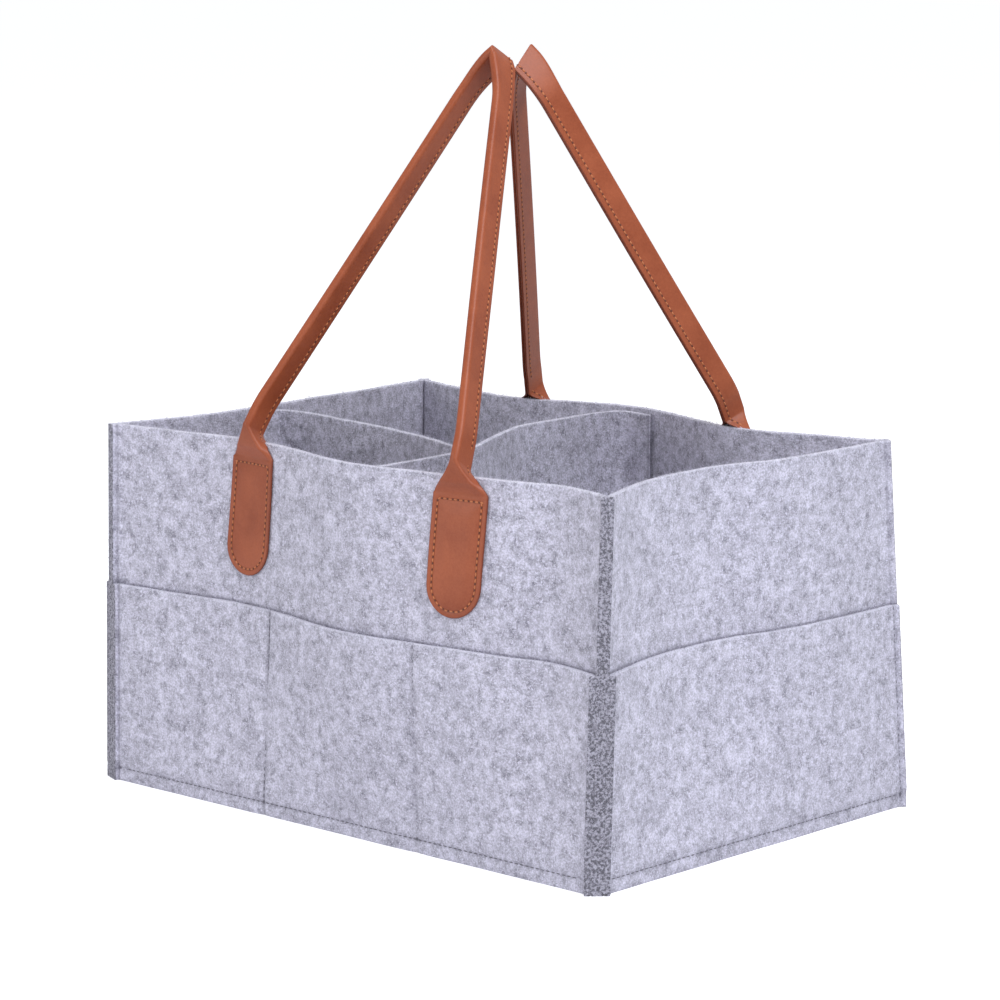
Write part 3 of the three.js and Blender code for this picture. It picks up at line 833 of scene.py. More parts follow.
def felt_group():
    """Pressed wool: speckle and clumps on a pale ground, curled dark hairs, and the relief of both."""
    tree, given = new_tree("Pressed wool", "ShaderNodeTree",
                           {"Vector": "Vector", "Hair share": 0.5, "Contrast": 1.0},
                           {"Shade": "Float", "Hair": "Float", "Height": "Float"})
    place = given["Vector"]
    parts = [beyond(tree, noise(tree, place, *look), 0.5, share) for look, share in (
        ((1050.0, 3.0, 0.7), 4.0), ((330.0, 3.0, 0.62, 0.8), 1.25), ((75.0, 2.0, 0.5), 0.9))]
    total = maths(tree, "ADD", maths(tree, "ADD", parts[0], parts[1]), parts[2])
    shade = maths(tree, "ADD", maths(tree, "MULTIPLY", total, given["Contrast"]), 0.5, clamp=True)
    lines = []
    for k, scale in enumerate(((640, 190, 700), (200, 640, 560), (520, 560, 180))):
        stretch = node(tree, "ShaderNodeMapping", {"Vector": place, "Scale": scale,
                                                   "Rotation": (0.5 * k, 0.9 * k, 0.7)})
        curled = noise(tree, stretch, 1.0, 1.0, distortion=1.1)
        ridge = maths(tree, "ABSOLUTE", maths(tree, "SUBTRACT", curled, 0.5))
        lines.append(maths(tree, "SUBTRACT", 1.0, maths(tree, "MULTIPLY", ridge, 15.0), clamp=True))
    hairs = maths(tree, "MAXIMUM", maths(tree, "MAXIMUM", lines[0], lines[1]), lines[2])
    gathered = beyond(tree, noise(tree, place, 210.0, 2.0, 0.6), 0.37, 3.2, clamp=True)
    hair = maths(tree, "MULTIPLY", maths(tree, "MULTIPLY", hairs, gathered), given["Hair share"], clamp=True)
    node(tree, "NodeGroupOutput", {"Shade": shade, "Hair": hair, "Height": blended(tree, shade, 0.7, hairs)})
    lay_out(tree)
    return tree


def grain_group():
    """Fine pebbled leather with creases and slow colour change."""
    tree, given = new_tree("Leather grain", "ShaderNodeTree", {"Vector": "Vector", "Grain scale": 1500.0},
                           {"Shade": "Float", "Pores": "Float", "Height": "Float"})
    place = given["Vector"]
    warp = noise(tree, place, 420.0, 2.0).outputs["Color"]
    bent = node(tree, "ShaderNodeVectorMath", {0: warp, 1: (0.6 * MM,) * 3, 2: place},
                operation="MULTIPLY_ADD")
    cells = node(tree, "ShaderNodeTexVoronoi", {"Vector": bent, "Scale": given["Grain scale"]},
                 feature="DISTANCE_TO_EDGE")
    pebble = maths(tree, "MULTIPLY", cells.outputs["Distance"], 3.2, clamp=True)
    slow, fine = noise(tree, place, 55.0, 4.0, 0.55), noise(tree, place, 900.0, 3.0, 0.6)
    node(tree, "NodeGroupOutput", {"Shade": blended(tree, slow, 0.65, fine),
                                   "Pores": maths(tree, "SUBTRACT", 1.0, pebble),
                                   "Height": blended(tree, pebble, 0.7, fine)})
    lay_out(tree)
    return tree


def shared(name, maker):
    """The node group of that name, made on its first use."""
    return bpy.data.node_groups.get(name) or maker()


def cleared(data):
    """The empty node tree of a material or world."""
    data.use_nodes = True
    data.node_tree.nodes.clear()
    return data.node_tree


def new_material(name):
    material = bpy.data.materials.new(name)
    tree = cleared(material)
    return material, tree, node(tree, "ShaderNodeTexCoord").outputs["Object"]


def finished(material, tree, values, height=None, strength=0.0, distance=0.0):
    """Ends a material with the inputs of its surface and the relief that a height gives it."""
    if height is not None:
        values["Normal"] = node(tree, "ShaderNodeBump", {"Strength": strength, "Distance": distance,
                                                         "Height": height})
    node(tree, "ShaderNodeOutputMaterial", {"Surface": node(tree, "ShaderNodeBsdfPrincipled", values)})
    lay_out(tree)
    return material


def near_edge(tree, name, start, end, share):
    """A share where a piece's named distance is below the start, nothing past the end."""
    distance = node(tree, "ShaderNodeAttribute", attribute_name=name).outputs["Fac"]
    return maths(tree, "MULTIPLY", node(tree, "ShaderNodeMapRange", {
        "Value": distance, "From Min": start, "From Max": end, "To Min": 1.0, "To Max": 0.0}), share)


def felt_material(name, looks, contrast, hair_share):
    """Felt with paler cut edges that also carry a painted highlight, painted shade at its seams and grizzled
    sewn ends.
    """
    material, tree, place = new_material(name)
    wool = node(tree, "ShaderNodeGroup", node_tree=shared("Pressed wool", felt_group))
    tree.links.new(place, wool.inputs["Vector"])
    wool.inputs["Contrast"].default_value = contrast
    wool.inputs["Hair share"].default_value = hair_share
    shade = wool.outputs["Shade"]
    tone = mixed(tree, shade, looks.felt_dark, looks.felt_pale)
    tone = mixed(tree, wool.outputs["Hair"], tone, looks.felt_hair)
    # The cut edges go paler: partly the pale fibres of the cut, partly a painted highlight where the top edge
    # meets the light from above.
    edge = near_edge(tree, "cut_edge", 0.15 * MM, 0.7 * MM, 1.0)
    pale_cut_and_highlight = maths(tree, "MULTIPLY", edge, maths(tree, "ADD", shade, 0.25), clamp=True)
    tone = mixed(tree, maths(tree, "MULTIPLY", pale_cut_and_highlight, 0.75), tone, looks.felt_cut)
    # Painted shade at seams and crevices: the felt darkens towards the hair colour there.
    painted_shade = node(tree, "ShaderNodeAttribute", attribute_name="painted_shade").outputs["Fac"]
    tone = mixed(tree, maths(tree, "MULTIPLY", painted_shade, 0.62), tone, looks.felt_hair)
    strewn = beyond(tree, noise(tree, place, 780.0, 3.0, 0.75), 0.43, 6.0, clamp=True)
    grizzled = mixed(tree, strewn, looks.felt_end, looks.felt_dark)
    tone = mixed(tree, near_edge(tree, "sewn_end", 0.15 * MM, 0.45 * MM, 0.9), tone, grizzled)
    return finished(material, tree, {
        "Base Color": tone, "Roughness": 0.95, "Specular IOR Level": 0.1,
        "Sheen Weight": 0.2, "Sheen Roughness": 0.5}, wool.outputs["Height"], 0.6, 0.6 * MM)


def leather_material(name, looks):
    """Tan leather, darker in its pores and along its cut edge."""
    material, tree, place = new_material(name)
    grain = node(tree, "ShaderNodeGroup", node_tree=shared("Leather grain", grain_group))
    tree.links.new(place, grain.inputs["Vector"])
    grain.inputs["Grain scale"].default_value = looks.grain_scale
    shade = grain.outputs["Shade"]
    spread = node(tree, "ShaderNodeMapRange", {"Value": shade, "From Min": 0.35, "From Max": 0.65})
    tone = mixed(tree, spread.outputs[0], looks.leather_dark, looks.leather)
    tone = mixed(tree, maths(tree, "MULTIPLY", grain.outputs["Pores"], 0.15), tone, looks.leather_dark)
    tone = mixed(tree, near_edge(tree, "cut_edge", 0.1 * MM, 0.8 * MM, 0.75), tone, looks.leather_edge)
    rough = node(tree, "ShaderNodeMapRange", {"Value": shade, "To Min": 0.3, "To Max": 0.5})
    return finished(material, tree, {"Base Color": tone, "Roughness": rough, "Specular IOR Level": 0.38},
                    grain.outputs["Height"], 0.22, 0.15 * MM)


def twisted(tree, place):
    """The plies of a thread."""
    return node(tree, "ShaderNodeTexWave", {"Vector": place, "Scale": 1400.0, "Distortion": 1.5,
                                            "Detail": 1.0}, bands_direction="DIAGONAL").outputs["Fac"]


def hooked(tree, place):
    """The close hooks of a tape."""
    return node(tree, "ShaderNodeTexVoronoi", {"Vector": place, "Scale": 1100.0}).outputs["Distance"]


def strewn_dark(tree, place):
    """Patches of fibre, most of them pale and some dark."""
    return beyond(tree, noise(tree, place, 380.0, 2.0), 0.5, 5.0, clamp=True)


def two_tone(name, pattern, first, second, values, *relief):
    """A pattern of two colours, which is also the relief where that is asked for."""
    material, tree, place = new_material(name)
    factor = pattern(tree, place)
    return finished(material, tree, {"Base Color": mixed(tree, factor, first, second), **values},
                    factor if relief else None, *relief)


def material_for(key):
    """The finish of that name, made on its first use from the sidebar's colours."""
    found = bpy.data.materials.get(key)
    if found:
        return found
    looks = bpy.context.scene.caddy_finish
    thread_relief = ({"Roughness": 0.6}, 0.5, 0.1 * MM)
    makers = {
        "Grey wool felt": (felt_material, looks, 1.0, 0.9),
        "Divider felt": (felt_material, looks, 1.2, 1.0),
        "Tan leather": (leather_material, looks),
        "Tan thread": (two_tone, twisted, [0.55 * c for c in looks.thread], looks.thread, *thread_relief),
        # Painted shade: dark brown spots stand for the shadowed needle holes.
        "Needle holes": (two_tone, twisted, colour(88, 43, 27), colour(114, 56, 35), *thread_relief),
        "Grey thread": (two_tone, twisted, colour(86, 84, 92), colour(120, 118, 126), *thread_relief),
        "Loose wool": (two_tone, strewn_dark, looks.felt_cut, looks.felt_hair,
                       {"Roughness": 0.9, "Specular IOR Level": 0.1}),
        "Hook tape": (two_tone, hooked, colour(70, 68, 76), colour(44, 42, 48),
                      {"Roughness": 0.7}, 0.8, 0.5 * MM),
    }
    maker, *details = makers[key]
    return maker(key, *details)


# Stitches

def stitch_tree():
    """Thread bars, or the dark spots of painted shade that stand for the needle holes between them, at an
    even pitch along sewn lines.
    """
    tree, given = new_tree("Sewn line", "GeometryNodeTree", {
        "Lines": "Geometry", "Pitch": 2.9 * MM, "Length": 2.2 * MM, "Width": 0.8 * MM,
        "Height": 0.6 * MM, "Rise": 0.1 * MM, "Start": 0.0, "Finish": "Material"}, {"Stitches": "Geometry"})
    # Points at the pitch, the first at the start
    total = node(tree, "GeometryNodeSplineLength").outputs["Length"]
    curve = node(tree, "GeometryNodeMeshToCurve", {"Mesh": given["Lines"]})
    trim = node(tree, "GeometryNodeTrimCurve", {
        "Curve": curve, 4: given["Start"], 5: maths(tree, "SUBTRACT", total, given["Start"])}, mode="LENGTH")
    even = node(tree, "GeometryNodeResampleCurve", {"Curve": trim, "Length": given["Pitch"]}, mode="LENGTH")
    points = node(tree, "GeometryNodeCurveToPoints", {"Curve": even}, mode="EVALUATED")
    # Each along its line, its top the way the surface faces
    facing = node(tree, "GeometryNodeInputNamedAttribute", {"Name": "facing"},
                  data_type="FLOAT_VECTOR").outputs["Attribute"]
    ahead = node(tree, "FunctionNodeAlignRotationToVector", {"Vector": points.outputs["Tangent"]}, axis="X")
    turn = node(tree, "FunctionNodeAlignRotationToVector", {"Rotation": ahead, "Vector": facing},
                axis="Z", pivot_axis="X")
    lift = node(tree, "ShaderNodeVectorMath", {0: facing, "Scale": given["Rise"]}, operation="SCALE")
    risen_points = node(tree, "GeometryNodeSetPosition", {"Geometry": points, "Offset": lift})
    bar = node(tree, "GeometryNodeMeshUVSphere", {"Segments": 8, "Rings": 5, "Radius": 0.5})
    size = node(tree, "ShaderNodeCombineXYZ", {"X": given["Length"], "Y": given["Width"],
                                               "Z": given["Height"]})
    spread = node(tree, "GeometryNodeInstanceOnPoints", {
        "Points": risen_points, "Instance": bar, "Rotation": turn, "Scale": size})
    whole = node(tree, "GeometryNodeRealizeInstances", {"Geometry": spread})
    smooth = node(tree, "GeometryNodeSetShadeSmooth", {"Geometry": whole})
    finish = node(tree, "GeometryNodeSetMaterial", {"Geometry": smooth, "Material": given["Finish"]})
    node(tree, "NodeGroupOutput", {"Stitches": finish})
    lay_out(tree)
    return tree


def run_nodes(name, base, tree, values):
    """Runs a node tree on an object, its inputs set by identifier, and keeps the result as a plain mesh."""
    modifier = base.modifiers.new(tree.name, "NODES")
    modifier.node_group = tree
    titles = {item.name: item.identifier for item in tree.interface.items_tree
              if item.item_type == "SOCKET" and item.in_out == "INPUT"}
    for title, value in values.items():
        modifier[titles[title]] = value
    bpy.context.view_layer.update()
    graph = bpy.context.evaluated_depsgraph_get()
    mesh = bpy.data.meshes.new_from_object(base.evaluated_get(graph), depsgraph=graph)
    mesh.name = name
    used = base.data
    bpy.data.objects.remove(base)
    bpy.data.meshes.remove(used)
    return placed(name, mesh)


def sew(name, lines, finish, **sizes):
    """Stitches along lines, each given as its points and the way its surface faces."""
    edges, at = [], 0
    for points, _ in lines:
        edges += [(at + i, at + i + 1) for i in range(len(points) - 1)]
        at += len(points)
    base = new_object(name + "_lines", np.vstack([points for points, _ in lines]), edges)
    facing = base.data.attributes.new("facing", "FLOAT_VECTOR", "POINT")
    facing.data.foreach_set("vector", np.vstack([normals for _, normals in lines]).astype(np.float32).ravel())
    values = {key.capitalize(): value for key, value in sizes.items()}
    return run_nodes(name, base, shared("Sewn line", stitch_tree), {**values, "Finish": material_for(finish)})


def even_line(points, normals):
    """A sewn line at even steps."""
    length = along(points)
    at = np.linspace(0, length[-1], max(int(length[-1] / SEAM_STEP), 3))
    return sampled(points, length, at), unit(sampled(normals, length, at))


def bottom_seam(name):
    """The level line that holds the foot of a pocket panel."""
    path = face_line(name, BOTTOM_SEAM, 1, 1)
    p, heading = on_line(path, np.linspace(*BOTTOM_SHARES, LEVEL_POINTS) * along(path)[-1], -BOTTOM_SINK)
    return even_line(np.column_stack([p, np.full(len(p), BOTTOM_SEAM)]),
                     np.column_stack([right_of(heading), np.zeros(len(p))]))


def upright_seam(spot_at, low, high, count):
    """An upright line, given its place and heading at each height."""
    points, normals = [], []
    for z in np.linspace(low, high, count):
        p, heading = spot_at(z)
        points.append([*p[0], z])
        normals.append([*right_of(heading[0]), 0])
    return even_line(np.array(points), np.array(normals))


def pocket_seam(name, x):
    """The line that divides a pocket panel."""
    return upright_seam(lambda z: place_on(face_line(name, z, 1, 1), 0, x, 0, -POCKET_SINK),
                        BOTTOM_SEAM, POCKET_HEIGHT - RIM_STOP, POCKET_POINTS)


def fin_seam(name, layer, last, low, high):
    """The line up one sewn end of a panel."""
    def spot_at(z):
        path = face_line(name, z, layer, 1)
        return on_line(path, np.array([along(path)[-1] - FIN_STITCH if last else FIN_STITCH]), -FIN_SINK)
    return upright_seam(spot_at, low, high, FIN_POINTS)


def tab_seams(f, rows):
    """The sewn line round each tab, closed along its top."""
    lines = []
    reach = TAB_WIDTH / 2 - TAB_STITCH
    off = LEATHER / 2 - 0.1 * MM
    for flip in (False, True):
        part = sorted((row for row in rows if row["kind"] == "tab" and row["flip"] == flip),
                      key=lambda row: row["z"])
        left, right = [], []
        for row in part:
            z = row["z"]
            if z < TAB_FOOT + TAB_STITCH or z > TAB_STITCH_TOP:
                continue
            drop = max(TAB_FOOT + TAB_WIDTH / 2 - z, 0)
            at = math.sqrt(max(reach ** 2 - drop ** 2, 0))
            p, n = strip_points(f, row, np.array([-at, at]), off)
            left.append((p[0], n[0]))
            right.append((p[1], n[1]))
        closest = min(part, key=lambda row: abs(row["z"] - TAB_STITCH_TOP))
        top = list(zip(*strip_points(f, closest, np.linspace(reach, -reach, 24), off)))
        points, normals = zip(*(left[::-1] + right + top[1:]))
        lines.append(even_line(np.array(points), np.array(normals)))
    return lines


def strap_seams(f, rows):
    """The sewn line on each flank of the folded strap."""
    lines = []
    folded = [row for row in rows if row["kind"] == "fold" and row["fold"] > SEWN_FOLD * FOLD]
    for sign in (-1, 1):
        ways = [-sign if row["flip"] else sign for row in folded]
        spots = [strip_points(f, row, np.array([way * (row["h"] - STRAP_STITCH)]), LEATHER / 2 - 0.05 * MM)
                 for row, way in zip(folded, ways)]
        lines.append(even_line(np.array([p[0] for p, _ in spots]), np.array([n[0] for _, n in spots])))
    return lines


# Fibres

def fibre_tree():
    """Short loose fibres standing out of a felt surface, as many as its points ask for."""
    tree, given = new_tree("Loose fibres", "GeometryNodeTree", {
        "Felt": "Geometry", "Density": 20000.0, "Length": 1.5 * MM, "Thickness": 0.07 * MM, "Tilt": 1.25,
        "Seed": 4, "Finish": "Material"}, {"Fibres": "Geometry"})
    # Where they stand
    share = node(tree, "GeometryNodeInputNamedAttribute", {"Name": "fibre_share"},
                 data_type="FLOAT").outputs["Attribute"]
    points = node(tree, "GeometryNodeDistributePointsOnFaces", {
        "Mesh": given["Felt"], "Density": maths(tree, "MULTIPLY", given["Density"], share),
        "Seed": given["Seed"]}, distribute_method="RANDOM")
    # One fibre, a unit long
    line = node(tree, "GeometryNodeCurvePrimitiveBezierSegment", {
        "Resolution": 2, "Start": (0, 0, -0.06), "Start Handle": (0, 0, 0.35),
        "End Handle": (0.15, 0, 0.7), "End": (0.45, 0, 0.95)})
    ratio = maths(tree, "DIVIDE", given["Thickness"], given["Length"])
    profile = node(tree, "GeometryNodeCurvePrimitiveCircle", {
        "Resolution": 3, "Radius": maths(tree, "MULTIPLY", ratio, 0.5)})
    tube = node(tree, "GeometryNodeCurveToMesh", {"Curve": line, "Profile Curve": profile,
                                                  "Fill Caps": True})
    # How each lies, and its size
    lean = node(tree, "ShaderNodeCombineXYZ", {"X": given["Tilt"], "Y": given["Tilt"], "Z": math.pi})
    other = node(tree, "ShaderNodeVectorMath", {0: lean, "Scale": -1.0}, operation="SCALE")
    spin = node(tree, "FunctionNodeRandomValue", {0: other, 1: lean}, data_type="FLOAT_VECTOR")
    turn = node(tree, "FunctionNodeEulerToRotation", {"Euler": spin})
    lie = node(tree, "FunctionNodeRotateRotation", {
        "Rotation": points.outputs["Rotation"], "Rotate By": turn}, rotation_space="LOCAL")
    size = node(tree, "FunctionNodeRandomValue", {2: 0.45, 3: 1.25}, data_type="FLOAT")
    whole_size = maths(tree, "MULTIPLY", size.outputs[1], given["Length"])
    scale = node(tree, "ShaderNodeCombineXYZ", {axis: whole_size for axis in "XYZ"})
    spread = node(tree, "GeometryNodeInstanceOnPoints", {
        "Points": points, "Instance": tube, "Rotation": lie, "Scale": scale})
    whole = node(tree, "GeometryNodeRealizeInstances", {"Geometry": spread})
    finish = node(tree, "GeometryNodeSetMaterial", {"Geometry": whole, "Material": given["Finish"]})
    node(tree, "NodeGroupOutput", {"Fibres": finish})
    lay_out(tree)
    return tree


def joined_felt(name, pieces, share_of):
    """Felt pieces as one mesh whose points say how many fibres stand there."""
    points, faces, shares, at = [], [], [], 0
    for piece in pieces:
        mesh = piece.data
        place = read(mesh.vertices, "co", 3)
        values = {key: read(mesh.attributes[key].data, "value", kind=np.float32)
                  for key in ("cut_edge", "sewn_end", "bare")}
        points.append(place)
        faces.append(read(mesh.loops, "vertex_index", kind=int).reshape(-1, 4) + at)
        shares.append(share_of(values) * (place[:, 2] > FIBRE_FLOOR))
        at += len(place)
    base = new_object(name, np.vstack(points), faces=np.vstack(faces).tolist())
    store(base, "fibre_share", np.concatenate(shares))
    return base


def nap_share(values):
    """Open faces."""
    return values["bare"]


def rim_share(values):
    """Cut top edges, and fewer on the sewn ends."""
    rim = np.clip(1 - values["cut_edge"] / RIM_REACH, 0, 1)
    return np.maximum(rim, END_FIBRES * (values["sewn_end"] < END_REACH))


# Settings

def tint(name, description, default):
    return FloatVectorProperty(name=name, description=description, subtype="COLOR", size=3,
                               default=default, min=0, max=1)


def measure(name, description, default, low, high):
    return FloatProperty(name=name, description=description, default=default, unit="LENGTH",
                         min=low, max=high)


class CaddyFinish(bpy.types.PropertyGroup):
    """Colours of the felt, leather and thread."""
    felt_pale: tint("Felt pale fibre", "Colour of the pale wool", colour(229, 226, 242))
    felt_dark: tint("Felt dark fibre", "Colour of the darker wool clumps", colour(180, 177, 191))
    felt_hair: tint("Felt hair", "Colour of the single dark hairs", colour(112, 109, 122))
    # This colour also carries the painted highlight of the cut top edges.
    felt_cut: tint("Felt cut edge", "Colour of the cut edges", colour(220, 218, 231))
    felt_end: tint("Felt sewn end", "Colour between the pale fibres of sewn ends", colour(84, 82, 90))
    leather: tint("Leather", "Colour of the leather", colour(165, 86, 52))
    leather_dark: tint("Leather shade", "Colour in the pores and darker parts", colour(140, 66, 36))
    leather_edge: tint("Leather edge", "Colour of the burnished cut edge", colour(112, 52, 32))
    thread: tint("Thread", "Colour of the leather thread", colour(214, 130, 82))
    grain_scale: FloatProperty(name="Grain scale", description="Leather pebbles per metre",
                               default=1500.0, min=200, max=5000)


class CaddySewing(bpy.types.PropertyGroup):
    """Sizes of the stitches and loose fibres."""
    pitch: measure("Stitch pitch", "Distance from one stitch to the next", 2.9 * MM, 1 * MM, 10 * MM)
    thread_width: measure("Thread width", "Width of a stitch", 0.85 * MM, 0.2 * MM, 3 * MM)
    fibre_length: measure("Fibre length", "Length of the loose fibres", 1.5 * MM, 0.2 * MM, 10 * MM)
    fibre_thickness: measure("Fibre thickness", "Thickness of the loose fibres", 0.12 * MM,
                             0.01 * MM, 1 * MM)
    fibre_density: FloatProperty(name="Fibre density", description="Loose fibres on a square metre of felt",
                                 default=22000.0, min=0, max=1000000)
    seed: IntProperty(name="Seed", description="Which scatter of fibres is used", default=4, min=0, max=1000)


class CaddyStage(bpy.types.PropertyGroup):
    """Floor and light."""
    floor: tint("Floor", "Colour of the floor", (0.84, 0.84, 0.85))
    light: FloatProperty(name="Light", description="Level of the lamps", default=1.0, min=0.1, max=4)


# Operators

def dress(piece, body, slot, *nodes, **sheet):
    """Puts a piece on the body that it rides on and hides the CAD parts that it stands for. Its slot and its
    sheet, what it is made of and its flat size, are not used.
    """
    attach(piece, body)
    if nodes:
        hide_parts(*nodes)


def dress_strap(piece, wall, *nodes):
    """Hides the CAD parts that the strap stands for and bakes its placement into its mesh."""
    x, y = (float(value) for value in hinge_point(wall, 1)[0])
    if nodes:
        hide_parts(*nodes)
    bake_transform(piece)


def pocket_marks(name):
    """How the sewn lines draw in a pocket panel's outer face, and the painted shade along them."""
    def marks(line, length, z):
        foot = near(z - BOTTOM_SEAM, 1.1 * MM)
        depth = np.full(len(line), 0.6 * MM * foot)
        # Painted shade along the bottom seam, the pocket divisions and the sewn ends.
        dark = np.full(len(line), 0.45 * foot)
        if name in ("front", "back"):
            for x in POCKET_SEAMS:
                d = line[:, 0] - x
                depth += 0.85 * MM * near(d, 1.0 * MM) + 0.4 * MM * near(d, 6 * MM)
                dark += 0.9 * near(d, 0.8 * MM)
        from_seam = np.minimum(length, length[-1] - length) - FIN_STITCH
        depth += 0.5 * MM * near(from_seam, 1.0 * MM)
        dark += 0.7 * near(from_seam, 0.8 * MM)
        return np.minimum(depth, 1.3 * MM), np.minimum(dark, 1.0)
    return marks


def wall_marks(line, length, z):
    """Painted shade on the wall just above the pocket panel, and in the sewn line at its ends, which is also
    drawn in.
    """
    sewn = near(np.minimum(length, length[-1] - length) - FIN_STITCH, 0.8 * MM)
    return 0.4 * MM * sewn, np.minimum(0.7 * sewn + near(z - POCKET_HEIGHT, 0.9 * MM), 1.0)


def flap_marks(line, length, z):
    """The stitches that hold the tape on the divider's back flap, drawn as dashes of painted shade without
    thread, and a painted shadow along the flap's end.
    """
    behind = length[-1] - length
    dash = 0.55 + 0.45 * math.cos(2 * math.pi * z / (3 * MM))
    sewn = dash * near(behind - FLAP_STITCH, 0.7 * MM)
    return 0.4 * MM * sewn, np.minimum(0.9 * sewn + near(behind, 1.2 * MM), 1.0)


class CADDY_OT_walls(bpy.types.Operator):
    """Makes the four felt walls and the pocket panel sewn over each"""
    bl_idname = "caddy.walls"
    bl_label = "Make walls and pockets"

    def execute(self, context):
        felt = material_for("Grey wool felt")
        beside_rim = POCKET_HEIGHT + np.linspace(-1.2, 2, 8) * MM
        heights = np.sort(np.concatenate([np.linspace(0, WALL_HEIGHT, WALL_ROWS), beside_rim]))
        for k, name in enumerate(WALLS):
            length = float(along(face_line(name, WALL_HEIGHT / 2, 0, 0))[-1])
            wall = felt_sheet(f"{name}_wall_felt", lambda z: face_line(name, z, 0, 0), heights, felt,
                              (POCKET_HEIGHT, BASE_TOP), 1.7 * k, wall_marks, fins=True)
            dress(wall, "caddy", "felt", f"{name}_wall", flat=(length, WALL_HEIGHT),
                  held="stretched", rests_on=["base_panel"])
            pocket = felt_sheet(f"{name}_pocket_felt", lambda z: face_line(name, z, 1, 0),
                                np.linspace(0, POCKET_HEIGHT, POCKET_ROWS), felt,
                                (0.0, WALL_HEIGHT), 1.7 * k + 0.9, pocket_marks(name), fins=True)
            dress(pocket, "caddy", "felt", f"{name}_pocket", flat=(length, POCKET_HEIGHT),
                  held="stretched", rests_on=[wall.name])
        return {"FINISHED"}


def base_ring(inset, z):
    """A ring round the base panel's corners."""
    half = np.array([SEAM_LENGTH - SEAT, SEAM_DEPTH - SEAT]) / 2 - inset
    c = max(BASE_CORNER - inset, BASE_EDGE)
    points = []
    for sx, sy, first in ((1, -1, -90), (1, 1, 0), (-1, 1, 90), (-1, -1, 180)):
        for a in np.radians(np.linspace(first, first + 90, 5)):
            points.append((sx * (half[0] - c) + c * math.cos(a), sy * (half[1] - c) + c * math.sin(a), z))
    return np.array(points)


class CADDY_OT_base(bpy.types.Operator):
    """Makes the felt base panel with its turned-down edge"""
    bl_idname = "caddy.base"
    bl_label = "Make base"

    def execute(self, context):
        rings = [base_ring(FELT, BASE_RISE), base_ring(FELT, 0.0), base_ring(BASE_EDGE, 0.0),
                 base_ring(0.0, BASE_EDGE), base_ring(0.0, BASE_TOP - BASE_ROUND)]
        for a in np.radians(np.linspace(15, 90, 6)):
            rings.append(base_ring(BASE_ROUND * (1 - math.cos(a)),
                                   BASE_TOP - BASE_ROUND + BASE_ROUND * math.sin(a)))
        rim = rings[-1]
        for t in np.linspace(0, 1, BASE_RINGS)[1:-1]:
            ring = rim * [1 - t, 1 - t, 1]
            sag = BASE_SAG * np.sin(ring[:, 0] / BASE_SAG_RUN) * np.cos(ring[:, 1] / BASE_SAG_DEEP)
            ring[:, 2] -= sag + BASE_DROP
            rings.append(ring)
        rings = np.array(rings)
        piece = new_piece("base_felt", rings, tube_faces(rings), material_for("Grey wool felt"))
        for key in ("cut_edge", "sewn_end"):
            store(piece, key, np.full(rings.shape[:2], NO_EDGE))
        dress(piece, "caddy", "felt", "base_panel",
              flat=(SEAM_LENGTH + 2 * BASE_RISE, SEAM_DEPTH + 2 * BASE_RISE),
              held="folded", rests_on=["front_wall_felt"])
        return {"FINISHED"}


def tape_strip(name, material):
    """The strip of hook tape under one of the divider's turned ends."""
    low, high = DIVIDER_FOOT + TAPE_FOOT, DIVIDER_TOP - TAPE_FOOT / 2
    way = HOLDS[name][-1]
    reach = sorted((way * (FLAP - TAPE_INSET), way * (FLAP - TAPE_INSET - TAPE_WIDTH)))
    rings = []
    levels = np.linspace(low, high, TAPE_LEVELS)[1:-1]
    for z in np.concatenate([low + TAPE_ROWS, levels, (high - TAPE_ROWS)[::-1]]):
        line, axis, value, _ = hold(name, z)
        p, heading = place_on(line, axis, value, np.linspace(*reach, TAPE_POINTS), -(SEAT + TAPE / 2))
        half = np.full((TAPE_POINTS, 1), edge_profile(min(z - low, high - z), TAPE / 2, TAPE_ROUND))
        half[[0, -1]] *= TAPE_THIN
        level = np.full(TAPE_POINTS, z)
        rings.append(np.vstack([np.column_stack([p + right_of(heading) * half, level]),
                                np.column_stack([p - right_of(heading) * half, level])[::-1]]))
    rings = np.array(rings)
    return new_piece(f"{name}_tape_strip", rings, tube_faces(rings, across=True), material)


class CADDY_OT_divider(bpy.types.Operator):
    """Makes the two felt divider panels and their strips of hook tape"""
    bl_idname = "caddy.divider"
    bl_label = "Make divider"

    def execute(self, context):
        felt = material_for("Divider felt")
        heights = np.linspace(DIVIDER_FOOT, DIVIDER_TOP, DIVIDER_ROWS)
        half = half_line()
        for name, line_at, key, marks in (("cross_divider", cross_line, 3.1, flap_marks),
                                          ("half_divider", lambda z: half, 4.4, None)):
            piece = felt_sheet(f"{name}_felt", line_at, heights, felt,
                               (DIVIDER_FOOT, DIVIDER_FOOT), key, marks)
            dress(piece, "divider", "divider_felt", name,
                  flat=(float(along(line_at(WALL_HEIGHT))[-1]), DIVIDER_TOP - DIVIDER_FOOT),
                  held="folded", rests_on=["base_felt"])
        tape = material_for("Hook tape")
        for name in HOLDS:
            dress(tape_strip(name, tape), "divider", "hook_tape", f"{name}_hook_tape")
        return {"FINISHED"}


class CADDY_OT_handles(bpy.types.Operator):
    """Makes both leather straps with their sewn tabs"""
    bl_idname = "caddy.handles"
    bl_label = "Make leather straps"

    def execute(self, context):
        leather = material_for("Tan leather")
        for wall, handle in HANDLES.items():
            piece = leather_strip(f"{handle['body']}_leather", *handle_rows(wall), leather)
            dress_strap(piece, wall, *handle["nodes"])
        return {"FINISHED"}


